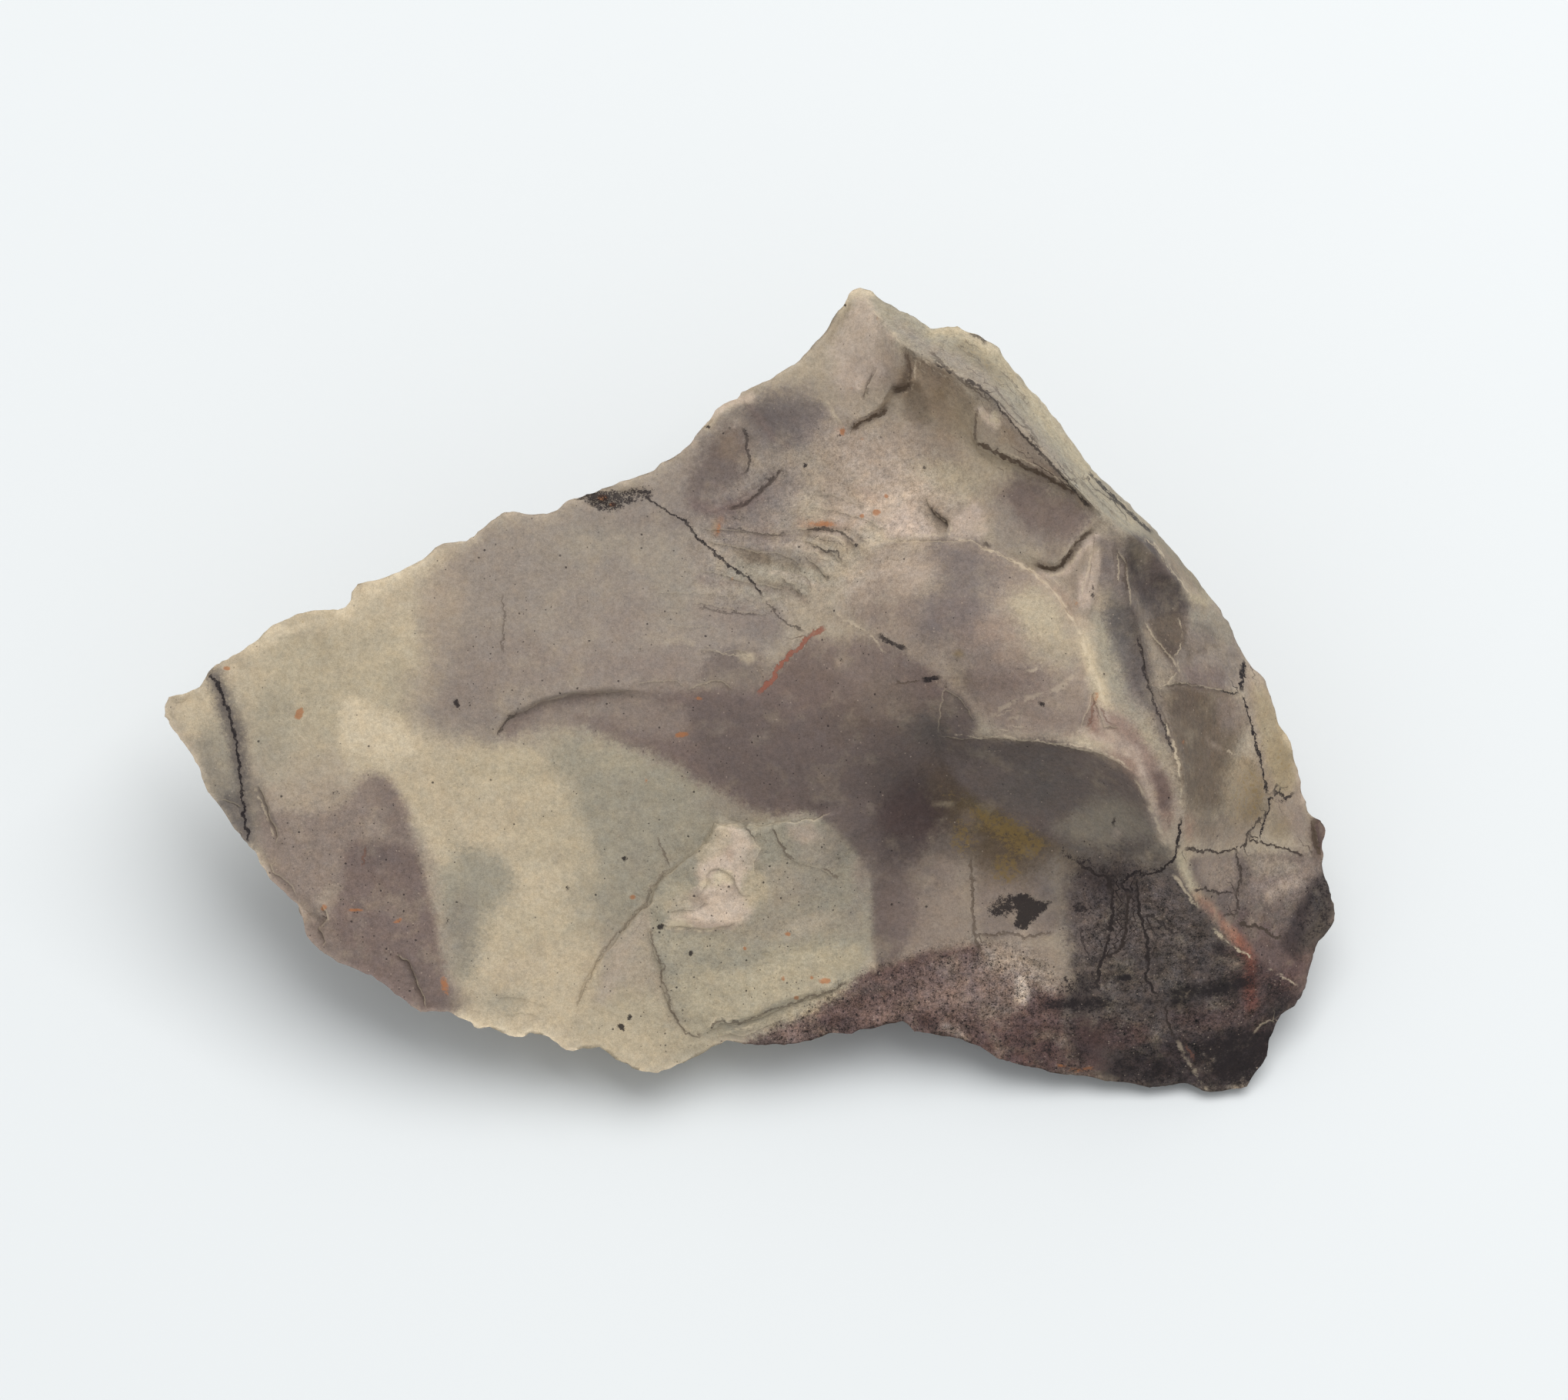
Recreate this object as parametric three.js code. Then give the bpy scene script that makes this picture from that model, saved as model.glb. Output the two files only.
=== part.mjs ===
// A rough of porcelain jasper: one struck stone with a broad face, sharp crests and a small
// flat spot underneath to rest on. Millimetres, +Z up, origin at the bottom centre of its box.
//
// The stone is drawn on its broad face: the first number of a point runs along the face to the
// right, the second up the face, the third out of the face. The face is then leaned back.
import * as THREE from "three";

// ---- Driving dimensions ----
const LEAN = THREE.MathUtils.degToRad(22);  // lean of the broad face from level
const FACE_RISE = 7.0;                      // height of the face's lower border above the table
const EDGE_STEP = 1.0;                      // spacing of vertices along the rim
const CREST_STEP = 0.9;                     // spacing along crests and ledges
const FACE_STEP = 1.16;                     // spacing between them on the broad face
const UNDERSIDE_STEP = 2.0;                 // spacing on the underside
const LEDGE_HALF_WIDTH = 0.28;              // half the width of a ledge's riser

// ---- The rim, clockwise from the peak; a third number is the rim's height out of the face ----
const RIM = [
  [53.8, 62.9], [54.4, 63.1, 3.5], [55.4, 62.8], [56.3, 62, 4], [56.9, 61.7], [57.5, 61.2],
  [58.1, 61.1], [59.9, 59.9, 4.5], [62, 60.1, 4.5], [63.5, 59.4], [65.3, 58.3, 4.5], [66.1, 57],
  [67.4, 55.5], [69.1, 53.6, 4], [70.9, 51.3], [72.5, 49, 3], [75.5, 46.2], [76.4, 45.2],
  [77.3, 44.4, 1.5], [78.7, 42.9], [80.2, 41.1, 0.5], [82.3, 38.5], [83.3, 37, -0.5], [84.1, 35.2],
  [85.1, 33.7], [86.3, 32.4, -2], [86.6, 31.8], [86.8, 31], [87.4, 29], [88, 28.2, -3],
  [88.3, 27.6], [89.2, 24, -3.6], [89.7, 22.2], [90.7, 21.4], [91.1, 20.8, -5.4], [91.1, 20.4],
  [91, 19.8], [91, 19.2], [91.1, 18.6], [91, 18, -5.4], [91.1, 17.1], [92, 14.1, -5.8], [91.9, 13.5],
  [90.5, 11.6], [89.8, 9.6, -5.8], [89.6, 8.4], [89.3, 7.6], [88.7, 6.8], [87.7, 6],
  [87.4, 5.4, -6], [87.1, 4.7], [86.8, 4.3], [86.7, 2.8], [85, 0.4], [84.5, 0.2, -6.6], [82.1, 0],
  [81.4, 0.1], [80.3, 0.6], [77.3, 0.3, -6.4], [74.9, 0.7], [71.3, 1.3, -5.8], [69.2, 1.6],
  [65.2, 2.7], [64.4, 3.2, -4.6], [63.8, 3.6], [62, 4.3], [58.7, 4.8, -3.6], [57.8, 5.6],
  [54.5, 4.9], [53.9, 4.6], [53.3, 4.6, -3.2], [52.1, 4.6], [49.7, 3.9], [47.3, 3.7, -3], [44, 4],
  [43.6, 3.7], [42.8, 3.5, -2.9], [41.6, 2.8], [38.6, 1.6, -3], [37.3, 1.7], [36.7, 1.9],
  [36.1, 2.3], [35.3, 2.6], [34, 3.7, -2.3], [33.1, 3.5], [32.5, 3.5], [32, 3.3],
  [31.4, 3.4], [30.1, 4.4], [29.3, 4.6, -1.7], [28.6, 4.7], [28, 4.4], [27.4, 4.4], [25.4, 5.2],
  [24.8, 5.1], [24.2, 5.2], [23.9, 5.6], [23.3, 5.9, -1.1], [22.1, 6.4], [20, 6.4],
  [18.1, 7.8, -0.7], [16.1, 9.3], [13.6, 10.3], [12.8, 10.8, -0.4], [12.1, 11.3], [11.3, 12],
  [10.9, 12.8], [10.3, 14.9, -0.1], [8.2, 16.8], [7.8, 17.6], [7.3, 18.2], [7, 19], [5.5, 20.8, 0.2],
  [3.4, 23.7], [2.6, 25.7], [2.2, 26.4, 0.3], [0, 29.6, 0.4], [0, 30.6], [0.3, 31.2], [1.7, 31.6],
  [2.7, 32], [3.2, 32.6], [3.4, 33.1, 0.6], [3.9, 33.6], [5.6, 34.5], [8, 36.3, 0.8], [8.5, 36.8],
  [10.4, 37.7], [12.2, 38], [13.6, 38], [14.1, 38.2], [14.5, 38.7, 1], [14.6, 39.4], [15.1, 40.1],
  [17.6, 40.6], [19.7, 41.6], [20.6, 42.2], [21.2, 42.9, 1.2], [21.8, 43.2], [23.6, 43.4],
  [24.2, 43.7], [24.5, 44.1], [26.6, 45.6], [27.4, 45.7, 1.3], [29, 45.4], [29.9, 45.5],
  [30.7, 45.8], [31.7, 46.6], [34.4, 47.5, 1.2], [38.3, 48.9], [38.9, 49.5, 1.2], [40.1, 50.1],
  [41, 50.9], [43.1, 53.5, 1.5], [43.7, 54.1], [44.8, 54.5], [45.2, 55], [47.9, 56.3, 2],
  [49.7, 57.4], [50.6, 58.6, 2.6], [51.2, 59.1], [53, 61.7, 3.2], [53.5, 62.5],
];

// ---- Crests, feet and shoulders where facets of the broad face meet ----
const MAIN_RIDGE = [
  [54.4, 63.1, 3.5], [55, 61.5, 4.7], [56.3, 60.3, 5.9], [57.2, 59.1, 6.9], [58.1, 58.2, 7.6],
  [59.6, 57.3, 8.4], [61.1, 56.4, 9.1], [63.1, 55.3, 9.8], [64.4, 54.5, 10.2], [65.6, 53.2, 10.5],
  [67.1, 51.6, 10.7], [68.3, 50.1, 10.8], [69.5, 48.9, 10.8], [70.7, 47.7, 10.7],
  [72.5, 45.8, 10.4], [74.3, 44.1, 9.8], [76.1, 43.1, 8.8], [77.3, 42, 7.4], [78.8, 40.2, 5.4],
  [80.3, 39.1, 2.8], [81.4, 38.8, 0.9],
];
const BENCH_FOOT = [
  [64.4, 54.5, 10.2], [63.4, 53.3, 8.3], [63.2, 51.9, 7.6], [63.7, 50.6, 7.5], [65.3, 49.8, 8.1],
  [66.8, 49.2, 8.6], [68.3, 48.6, 8.9], [69.8, 47.8, 9.2], [71.3, 47, 9.6], [72.5, 45.8, 10.4],
];
const DOME_RIM = [
  [54.5, 43.2, 4.3], [56.9, 43.3, 4.9], [59.3, 43.3, 5.4], [61.1, 43.2, 5.8], [62.9, 43.4, 6.1],
  [64.1, 42.8, 6.4], [65.3, 42.4, 6.7], [66.8, 41.5, 7.1], [68, 40.8, 7.4], [68.9, 40, 7.7],
  [69.8, 39, 8], [70.4, 38.1, 8.3], [71, 37.2, 8.6],
];
const INNER_CREST = [
  [71, 37.2, 8.6], [71.6, 35.7, 8.9], [72.2, 34.5, 9.2], [72.5, 32.7, 9.5], [73.1, 31.2, 9.8],
  [73.7, 29.7, 10.1], [75.1, 27.4, 10.4], [76.1, 24.9, 10.5],
];
const FLUTE = [
  [72.5, 43.5, 9.6], [72.3, 41.7, 9.3], [72.1, 39.9, 9.1], [71.5, 38.4, 8.8], [71, 37.2, 8.6],
];
const OUTER_CREST = [
  [76.3, 35.1, 8.4], [76.6, 33.3, 8.8], [77, 31.8, 9.1], [77.6, 30.6, 9.4], [78.2, 29.4, 9.7],
  [78.8, 27.6, 9.9], [79.3, 25.5, 9.8], [79.4, 23.4, 9], [79.4, 21.6, 8], [79.1, 20.1, 6.9],
  [78.8, 18.6, 5.8],
];
const SPUR = [
  [74.3, 42.2, 8.9], [75.1, 39.3, 8.6], [75.9, 37.1, 8.4], [76.3, 35.1, 8.4],
];
const SCAR_LIP = [
  [59.9, 28.1, 4.3], [61.7, 28, 5.7], [63.2, 28, 6.6], [64.7, 27.9, 7.4], [66.2, 27.8, 8],
  [67.7, 27.7, 8.6], [70.1, 27.3, 9.3], [72.5, 26.8, 9.9], [74.3, 26, 10.3], [76.1, 24.9, 10.5],
];
const SCAR_SIDE = [
  [76.1, 24.9, 10.5], [76.4, 23.7, 9.9], [77, 22.5, 9], [77.6, 21, 7.6], [78.8, 18.6, 5.8],
];
const SCAR_FOOT = [
  [59.9, 28.1, 4.3], [60.7, 25.5, 2.8], [61.7, 23.7, 1.9], [63.2, 22.7, 1.4], [64.7, 21.9, 1.1],
  [66.5, 20.9, 0.8], [68.3, 20.1, 0.7], [71.3, 19.2, 0.9], [74.3, 19, 2.1], [76.7, 18.9, 4.1],
  [78.8, 18.6, 5.8],
];
const CORNER_CREST = [
  [78.8, 18.6, 5.8], [79.4, 16.5, 4.6], [80.3, 15.6, 3.8], [80.9, 14.4, 2.9], [81.8, 13.5, 2.1],
  [82.7, 12.6, 1.2], [83.9, 11.6, 0.1], [85.1, 10.6, -1.1], [86.3, 10, -2.3], [87.5, 9.4, -3.5],
  [88.6, 8.7, -4.6],
];
const SCAR_HEAD = [
  [58.4, 55, 5.6], [60.1, 53.4, 5.3], [61.7, 51.8, 5.4], [63.4, 50, 6], [65.3, 48.9, 7],
  [67.1, 48.2, 7.7], [69.1, 47.4, 8.2], [70.9, 46.4, 8.7], [71.9, 45.4, 9.3],
];
const RIM_SHOULDER = [
  [77, 31.8, 9.1], [79.1, 32.3, 6.9], [80.9, 31.9, 5], [83.3, 31.4, 2], [85.1, 31.2, -0.2],
];
const FACE_CRESTS = [
  MAIN_RIDGE, BENCH_FOOT, DOME_RIM, INNER_CREST, FLUTE, OUTER_CREST, SPUR, SCAR_LIP, SCAR_SIDE,
  SCAR_FOOT, SCAR_HEAD, CORNER_CREST, RIM_SHOULDER,
];

// ---- Ledges: low steps, raised on the left of the line by `step` and fading over `reach` ----
const LEDGES = [
  {
    name: "hinge on the left face", step: 0.75, reach: 8,
    line: [[26, 28.1], [26.5, 29], [26.9, 29.6], [28.4, 30.2], [29.3, 30.7], [31.1, 31.2],
      [33.2, 31.4], [35.3, 31.6], [38.3, 31.2]],
  },
  {
    name: "plate under the peak", step: 1.0, reach: 5,
    line: [[53.9, 51.8], [54.2, 52.5], [55.1, 52.9], [56, 53.4], [56.5, 54.3], [57.1, 55.1],
      [58.3, 55.5], [58.3, 56.7], [58, 58.2]],
  },
  {
    name: "hooked lip by the flutes", step: 0.8, reach: 4,
    line: [[68, 41.6], [68.9, 41.3], [69.5, 41.2], [70.4, 41.8], [71, 42.6], [71.6, 43.5],
      [72.4, 44.2]],
  },
  {
    name: "nick above the dome", step: 0.5, reach: 2.5,
    line: [[59.7, 46.6], [59.9, 45.9], [60.5, 45.2], [61.3, 44.7], [61.1, 43.9]],
  },
  {
    name: "gully below the upper left scar", step: 0.5, reach: 4,
    line: [[48.2, 49], [47.3, 48], [46.1, 46.8], [45.2, 46.2], [43.7, 45.8], [42.2, 45.9]],
  },
  {
    name: "upper edge of the low plate", step: 1.0, reach: 11,
    line: [[52.1, 22.1], [50.3, 21.8], [49.1, 21.8], [47.8, 21.3], [45.8, 20.7], [43.4, 21.3],
      [42.8, 20.8], [42.2, 19.5], [41.3, 18.8], [40.1, 18], [38.9, 16.9], [38.2, 16], [37.9, 15],
      [36.8, 14.2], [36.1, 13.2], [35, 12], [34.1, 10.8], [33.4, 9.6], [32.8, 8.1], [32.2, 6.8]],
  },
  {
    name: "groove down the low plate", step: 0.35, reach: 3,
    line: [[38, 13.1], [38.1, 12], [38.5, 10.8], [38.9, 9.8], [39.1, 8.4], [39.4, 7.2], [40, 6],
      [40.7, 5.4]],
  },
  {
    name: "foot of the low plate", step: 0.7, reach: 4,
    line: [[43.3, 5.4], [43.9, 5.8], [44.9, 5.7], [46.1, 6], [47.9, 6.9], [49.7, 7.5],
      [52.1, 8.1], [53, 8.7]],
  },
  {
    name: "bruised lip", step: 0.4, reach: 2.5,
    line: [[38.3, 14], [40.1, 13.4], [42.2, 13.2], [44.3, 13.4]],
  },
  {
    name: "chip by the left tip", step: 0.4, reach: 2.5,
    line: [[7.4, 24.3], [7.9, 22.8], [8.5, 21.6], [8.8, 20.7], [8.8, 19.6]],
  },
  {
    name: "stepped chip on the lower edge", step: 0.45, reach: 2,
    line: [[11, 14.5], [11.6, 14.1], [12.6, 13.6], [12.2, 12.8], [12.6, 11.9]],
  },
  {
    name: "arc chip on the lower edge", step: 0.35, reach: 2,
    line: [[18.2, 11.1], [19.1, 10.3], [19.7, 9], [20.1, 7.8]],
  },
];

// ---- Bowls of the struck scars: centre, radii and depth; a negative depth is a swelling ----
const FACE_BOWLS = [
  { name: "hollow under the ridge", at: [60.5, 54.6], radii: [3, 2.5], depth: 1 },
  { name: "upper scar", at: [57.5, 47.6], radii: [8, 4], depth: 0.9 },
  { name: "scar below the peak's left edge", at: [46.6, 50], radii: [5, 4], depth: 0.9 },
  { name: "dark scar", at: [70.5, 23.2], radii: [7, 3.4], depth: 1.6 },
  { name: "upper left face", at: [25, 35], radii: [15, 7], depth: -0.5 },
  { name: "lower left face", at: [25, 18], radii: [14, 8], depth: 0.5 },
  { name: "dome", at: [62, 36.6], radii: [7, 5], depth: -2.2 },
  { name: "plum swelling", at: [52.5, 27.5], radii: [8, 6], depth: -1.2 },
  { name: "trough left of the dome", at: [49, 38], radii: [3, 5], depth: 0.5 },
  { name: "low middle", at: [58.5, 16], radii: [6, 6], depth: 0.6 },
  { name: "low right", at: [71.3, 9], radii: [7, 5], depth: -0.6 },
  { name: "valley between the crests", at: [74.7, 33.5], radii: [1.6, 5.5], depth: 1.4 },
  { name: "hollow by the spur", at: [77.4, 39.6], radii: [2, 2.4], depth: 1 },
  { name: "right scar", at: [82.5, 26.5], radii: [4, 5], depth: 1 },
  { name: "corner facet", at: [86.3, 15.5], radii: [3.5, 4], depth: 0.6 },
];

// ---- The underside: its third number is the height above the table ----
const FLAT_SPOT = [
  [44, 22.5, 0], [45.5, 28, 0], [53, 30.6, 0], [62, 28.8, 0], [65.5, 22.5, 0], [61.5, 17.5, 0],
  [50, 17, 0],
];
const LEFT_KEEL = [
  [44, 22.5, 0], [38, 26, 1.6], [31, 28.2, 4.4], [22, 29, 8], [14, 29.6, 11.6], [7, 30.2, 15],
  [3.6, 30.4, 16.9],
];
const TOP_KEEL = [
  [53, 30.6, 0], [55, 38, 5.2], [56.6, 46, 12.5], [57.2, 53, 21.5], [56.2, 59, 29.3],
];
const RIGHT_KEEL = [
  [62, 28.8, 0], [71, 29.6, 2.2], [79, 28.6, 5.8], [85.4, 26.8, 10],
];
const LOW_RIGHT_KEEL = [
  [65.5, 22.5, 0], [73, 14.5, 0.7], [80, 6.4, 0.45], [83.4, 2, 0.6],
];
const LOW_MIDDLE_KEEL = [
  [50, 17, 0], [45.5, 10.5, 1.2], [41, 5, 2.6],
];
const LOW_LEFT_KEEL = [
  [38, 26, 1.6], [32.5, 18.5, 2.4], [27.5, 11.6, 4.2], [25, 7.6, 6.2],
];
const UPPER_LEFT_KEEL = [
  [31, 28.2, 4.4], [27.5, 35, 9.4], [25.8, 40, 15.2], [25.2, 42.4, 19],
];
const UPPER_MIDDLE_KEEL = [
  [55, 38, 5.2], [47.5, 42.2, 10.6], [43.2, 47.2, 18],
];
const RIGHT_SHOULDER = [
  [56.6, 46, 12.5], [64, 44.4, 12.6], [71, 41.6, 14.6], [77, 38.8, 17.2],
];
const RIGHT_WALL = [
  [64, 44.4, 12.6], [67, 50, 20], [67.8, 53.2, 26.4],
];
const WING_SPUR = [
  [22, 29, 8], [17, 22.5, 8.6], [13.4, 16, 10.2], [12.6, 13, 11],
];
const WING_RISE = [
  [14, 29.6, 11.6], [15.2, 35, 15.4], [15.6, 38.2, 19.4],
];
const CORNER_SPUR = [
  [73, 14.5, 0.7], [81, 15.4, 2.6], [87.8, 15.6, 5.2],
];
const UNDERSIDE_CRESTS = [
  LEFT_KEEL, TOP_KEEL, RIGHT_KEEL, LOW_RIGHT_KEEL, LOW_MIDDLE_KEEL, LOW_LEFT_KEEL,
  UPPER_LEFT_KEEL, UPPER_MIDDLE_KEEL, RIGHT_SHOULDER, RIGHT_WALL, WING_SPUR, WING_RISE,
  CORNER_SPUR,
];
const UNDERSIDE_BOWLS = [
  { name: "scar under the left wing", at: [22, 18], radii: [6, 6], depth: 1.4 },
  { name: "scar at the left tip", at: [9, 24], radii: [4, 5], depth: 0.9 },
  { name: "scar above the left keel", at: [37, 36.5], radii: [7, 6], depth: 2.2 },
  { name: "scar of the upper left edge", at: [20, 34.5], radii: [4, 4], depth: 1.3 },
  { name: "low scar", at: [38, 14], radii: [5, 5], depth: 1.1 },
  { name: "scar below the spot", at: [60, 10], radii: [8, 4], depth: 1 },
  { name: "right scar", at: [68, 36], radii: [7, 4], depth: 2 },
  { name: "wall below the ridge", at: [61, 51], radii: [4, 4], depth: 1.8 },
  { name: "wall below the rim", at: [73, 46], radii: [4, 4], depth: 1.5 },
  { name: "scar below the corner", at: [80, 20.5], radii: [5, 4], depth: 1.3 },
  { name: "corner scar", at: [83, 9.5], radii: [4, 3.5], depth: 0.8 },
];

// Height out of the face of a point that lies `aboveTable` once the face is leaned back.
function outOfFace(up, aboveTable) {
  return (aboveTable - FACE_RISE - up * Math.sin(LEAN)) / Math.cos(LEAN);
}

// A polyline with points no further apart than `step`; all three numbers run straight between.
function divided(line, step, closed = false) {
  const points = [];
  const spans = closed ? line.length : line.length - 1;
  for (let i = 0; i < spans; i += 1) {
    const from = line[i];
    const to = line[(i + 1) % line.length];
    const length = Math.hypot(to[0] - from[0], to[1] - from[1]);
    const pieces = Math.max(1, Math.round(length / step));
    for (let k = 0; k < pieces; k += 1) {
      points.push(from.map((value, n) => value + ((to[n] - value) * k) / pieces));
    }
  }
  if (!closed) points.push(line[line.length - 1].slice());
  return points;
}

// The rim with a height at every corner, run straight between the heights that are given.
function rimWithHeights(rim) {
  const count = rim.length;
  const first = rim.findIndex((point) => point.length === 3);
  const filled = rim.map((point) => [point[0], point[1], point[2]]);
  let from = first;
  while (from < first + count) {
    let to = from + 1;
    while (rim[to % count].length !== 3) to += 1;
    const lengths = [0];
    for (let i = from; i < to; i += 1) {
      const a = rim[i % count];
      const b = rim[(i + 1) % count];
      lengths.push(lengths[i - from] + Math.hypot(b[0] - a[0], b[1] - a[1]));
    }
    const start = rim[from % count][2];
    const end = rim[to % count][2];
    for (let i = from + 1; i < to; i += 1) {
      const share = lengths[i - from] / lengths[to - from];
      filled[i % count][2] = start + (end - start) * share;
    }
    from = to;
  }
  return filled;
}

function isInside(polygon, x, y) {
  let inside = false;
  for (let i = 0, j = polygon.length - 1; i < polygon.length; j = i, i += 1) {
    const [ax, ay] = polygon[i];
    const [bx, by] = polygon[j];
    if (ay > y !== by > y && x < ((bx - ax) * (y - ay)) / (by - ay) + ax) inside = !inside;
  }
  return inside;
}

// Nearest place on a polyline: distance, positive on its left, and the share of its length.
function placeOnLine(line, x, y) {
  let best = { distance: Infinity, signed: 0, share: 0 };
  let total = 0;
  for (let i = 0; i + 1 < line.length; i += 1) {
    const [ax, ay] = line[i];
    const [bx, by] = line[i + 1];
    const dx = bx - ax;
    const dy = by - ay;
    const length = Math.hypot(dx, dy);
    const t = THREE.MathUtils.clamp(((x - ax) * dx + (y - ay) * dy) / length ** 2, 0, 1);
    const distance = Math.hypot(x - ax - t * dx, y - ay - t * dy);
    if (distance < best.distance) {
      const side = Math.sign(dx * (y - ay) - dy * (x - ax)) || 1;
      best = { distance, signed: side * distance, share: total + t * length };
    }
    total += length;
  }
  best.share /= total;
  return best;
}

// What the ledges add at a point of the broad face.
function ledgeRise(x, y) {
  let rise = 0;
  for (const { line, step, reach } of LEDGES) {
    const { signed, share } = placeOnLine(line, x, y);
    const across = THREE.MathUtils.smoothstep(signed, -LEDGE_HALF_WIDTH, LEDGE_HALF_WIDTH);
    const away = 1 - THREE.MathUtils.smoothstep(signed, 0, reach);
    const ends = Math.sin(Math.PI * THREE.MathUtils.clamp(share, 0.04, 0.96)) ** 0.5;
    rise += step * across * away * ends;
  }
  return rise;
}

// The two rows of vertices that make a ledge's riser.
function ledgeRows(line) {
  const rows = [];
  const points = divided(line, CREST_STEP);
  points.forEach(([x, y], i) => {
    const before = points[Math.max(0, i - 1)];
    const after = points[Math.min(points.length - 1, i + 1)];
    const dx = after[0] - before[0];
    const dy = after[1] - before[1];
    const length = Math.hypot(dx, dy);
    for (const side of [-LEDGE_HALF_WIDTH, LEDGE_HALF_WIDTH]) {
      rows.push([x - (side * dy) / length, y + (side * dx) / length]);
    }
  });
  return rows;
}

// Delaunay triangles of points in the plane, by adding one point at a time.
function delaunay(points) {
  const count = points.length;
  const far = 1e4;
  const xs = points.map((point) => point[0]).concat([-far, far, 0]);
  const ys = points.map((point) => point[1]).concat([-far, -far, far]);
  const circle = (a, b, c) => {
    const bx = xs[b] - xs[a];
    const by = ys[b] - ys[a];
    const cx = xs[c] - xs[a];
    const cy = ys[c] - ys[a];
    const twice = 2 * (bx * cy - by * cx);
    const ux = (cy * (bx * bx + by * by) - by * (cx * cx + cy * cy)) / twice;
    const uy = (bx * (cx * cx + cy * cy) - cx * (bx * bx + by * by)) / twice;
    return { a, b, c, x: xs[a] + ux, y: ys[a] + uy, r2: ux * ux + uy * uy };
  };
  let triangles = [circle(count, count + 1, count + 2)];
  for (let p = 0; p < count; p += 1) {
    const kept = [];
    const edges = new Map();
    for (const t of triangles) {
      if ((xs[p] - t.x) ** 2 + (ys[p] - t.y) ** 2 >= t.r2 * (1 - 1e-12)) {
        kept.push(t);
        continue;
      }
      for (const [from, to] of [[t.a, t.b], [t.b, t.c], [t.c, t.a]]) {
        if (edges.has(`${to},${from}`)) edges.delete(`${to},${from}`);
        else edges.set(`${from},${to}`, [from, to]);
      }
    }
    for (const [from, to] of edges.values()) kept.push(circle(from, to, p));
    triangles = kept;
  }
  return triangles
    .filter((t) => t.a < count && t.b < count && t.c < count)
    .map((t) => [t.a, t.b, t.c]);
}

// Triangles inside the rim, whose points come first in the list. A triangle side that joins two
// rim points across the stone is halved by a new point, so the two faces share the rim alone.
function triangulated(rim, inner) {
  const points = [...rim, ...inner];
  for (;;) {
    const triangles = delaunay(points).filter(([a, b, c]) =>
      isInside(
        rim,
        (points[a][0] + points[b][0] + points[c][0]) / 3,
        (points[a][1] + points[b][1] + points[c][1]) / 3,
      ),
    );
    const chords = new Map();
    for (const [a, b, c] of triangles) {
      for (const [from, to] of [[a, b], [b, c], [c, a]]) {
        if (from >= rim.length || to >= rim.length) continue;
        const apart = Math.abs(from - to);
        if (apart === 1 || apart === rim.length - 1) continue;
        chords.set(`${Math.min(from, to)},${Math.max(from, to)}`, [from, to]);
      }
    }
    if (!chords.size) return { points, triangles };
    for (const [from, to] of chords.values()) {
      points.push([
        (points[from][0] + points[to][0]) / 2,
        (points[from][1] + points[to][1]) / 2,
      ]);
    }
  }
}

// A slightly uneven honeycomb of points inside the rim, clear of the points that are there.
function filling(rim, taken, step, isAllowed) {
  const added = [];
  const clearance = step * 0.66;
  const rowHeight = step * Math.sqrt(0.75);
  const everything = taken.slice();
  for (let row = 0; row * rowHeight < 64; row += 1) {
    for (let column = 0; column * step < 93; column += 1) {
      const turn = row * 12.9898 + column * 78.233;
      const x = (column + (row % 2) / 2 + 0.16 * Math.sin(turn)) * step;
      const y = (row + 0.16 * Math.cos(turn * 1.7)) * rowHeight;
      if (!isInside(rim, x, y) || !isAllowed(x, y)) continue;
      if (everything.some((point) => Math.hypot(point[0] - x, point[1] - y) < clearance)) continue;
      everything.push([x, y]);
      added.push([x, y]);
    }
  }
  return added;
}

// Adds to `points` those of `more` that keep a distance from every point already there.
function addClear(points, more, distance) {
  for (const point of more) {
    const crowded = points.some((p) => Math.hypot(p[0] - point[0], p[1] - point[1]) < distance);
    if (!crowded) points.push(point);
  }
}

// Heights of a skin stretched over the points that have one, pressed in by the bowls.
// `inward` is -1 where a bowl lowers the third number and +1 where it raises it.
function stretched({ points, triangles }, bowls, inward) {
  const links = points.map(() => new Map());
  const areas = new Float64Array(points.length);
  for (const triangle of triangles) {
    for (let k = 0; k < 3; k += 1) {
      const [p, q, r] = [0, 1, 2].map((n) => triangle[(k + n) % 3]);
      const ax = points[p][0] - points[r][0];
      const ay = points[p][1] - points[r][1];
      const bx = points[q][0] - points[r][0];
      const by = points[q][1] - points[r][1];
      const cross = Math.abs(ax * by - ay * bx);
      const weight = (ax * bx + ay * by) / cross / 2;
      links[p].set(q, (links[p].get(q) || 0) + weight);
      links[q].set(p, (links[q].get(p) || 0) + weight);
      areas[r] += cross / 6;
    }
  }
  const heights = points.map((point) => (point.length === 3 ? point[2] : 0));
  const press = points.map(([x, y], i) => {
    const load = bowls.reduce((sum, { at, radii, depth }) => {
      const away = ((x - at[0]) / radii[0]) ** 2 + ((y - at[1]) / radii[1]) ** 2;
      return sum + ((4 * depth) / (radii[0] * radii[1])) * Math.exp(-away);
    }, 0);
    return inward * load * areas[i];
  });
  const overshoot = 1.85;
  for (let sweep = 0; sweep < 500; sweep += 1) {
    for (let i = 0; i < points.length; i += 1) {
      if (points[i].length === 3) continue;
      let total = 0;
      let sum = press[i];
      for (const [j, weight] of links[i]) {
        const held = Math.max(weight, 1e-3);
        total += held;
        sum += held * heights[j];
      }
      heights[i] += overshoot * (sum / total - heights[i]);
    }
  }
  return heights;
}

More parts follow.
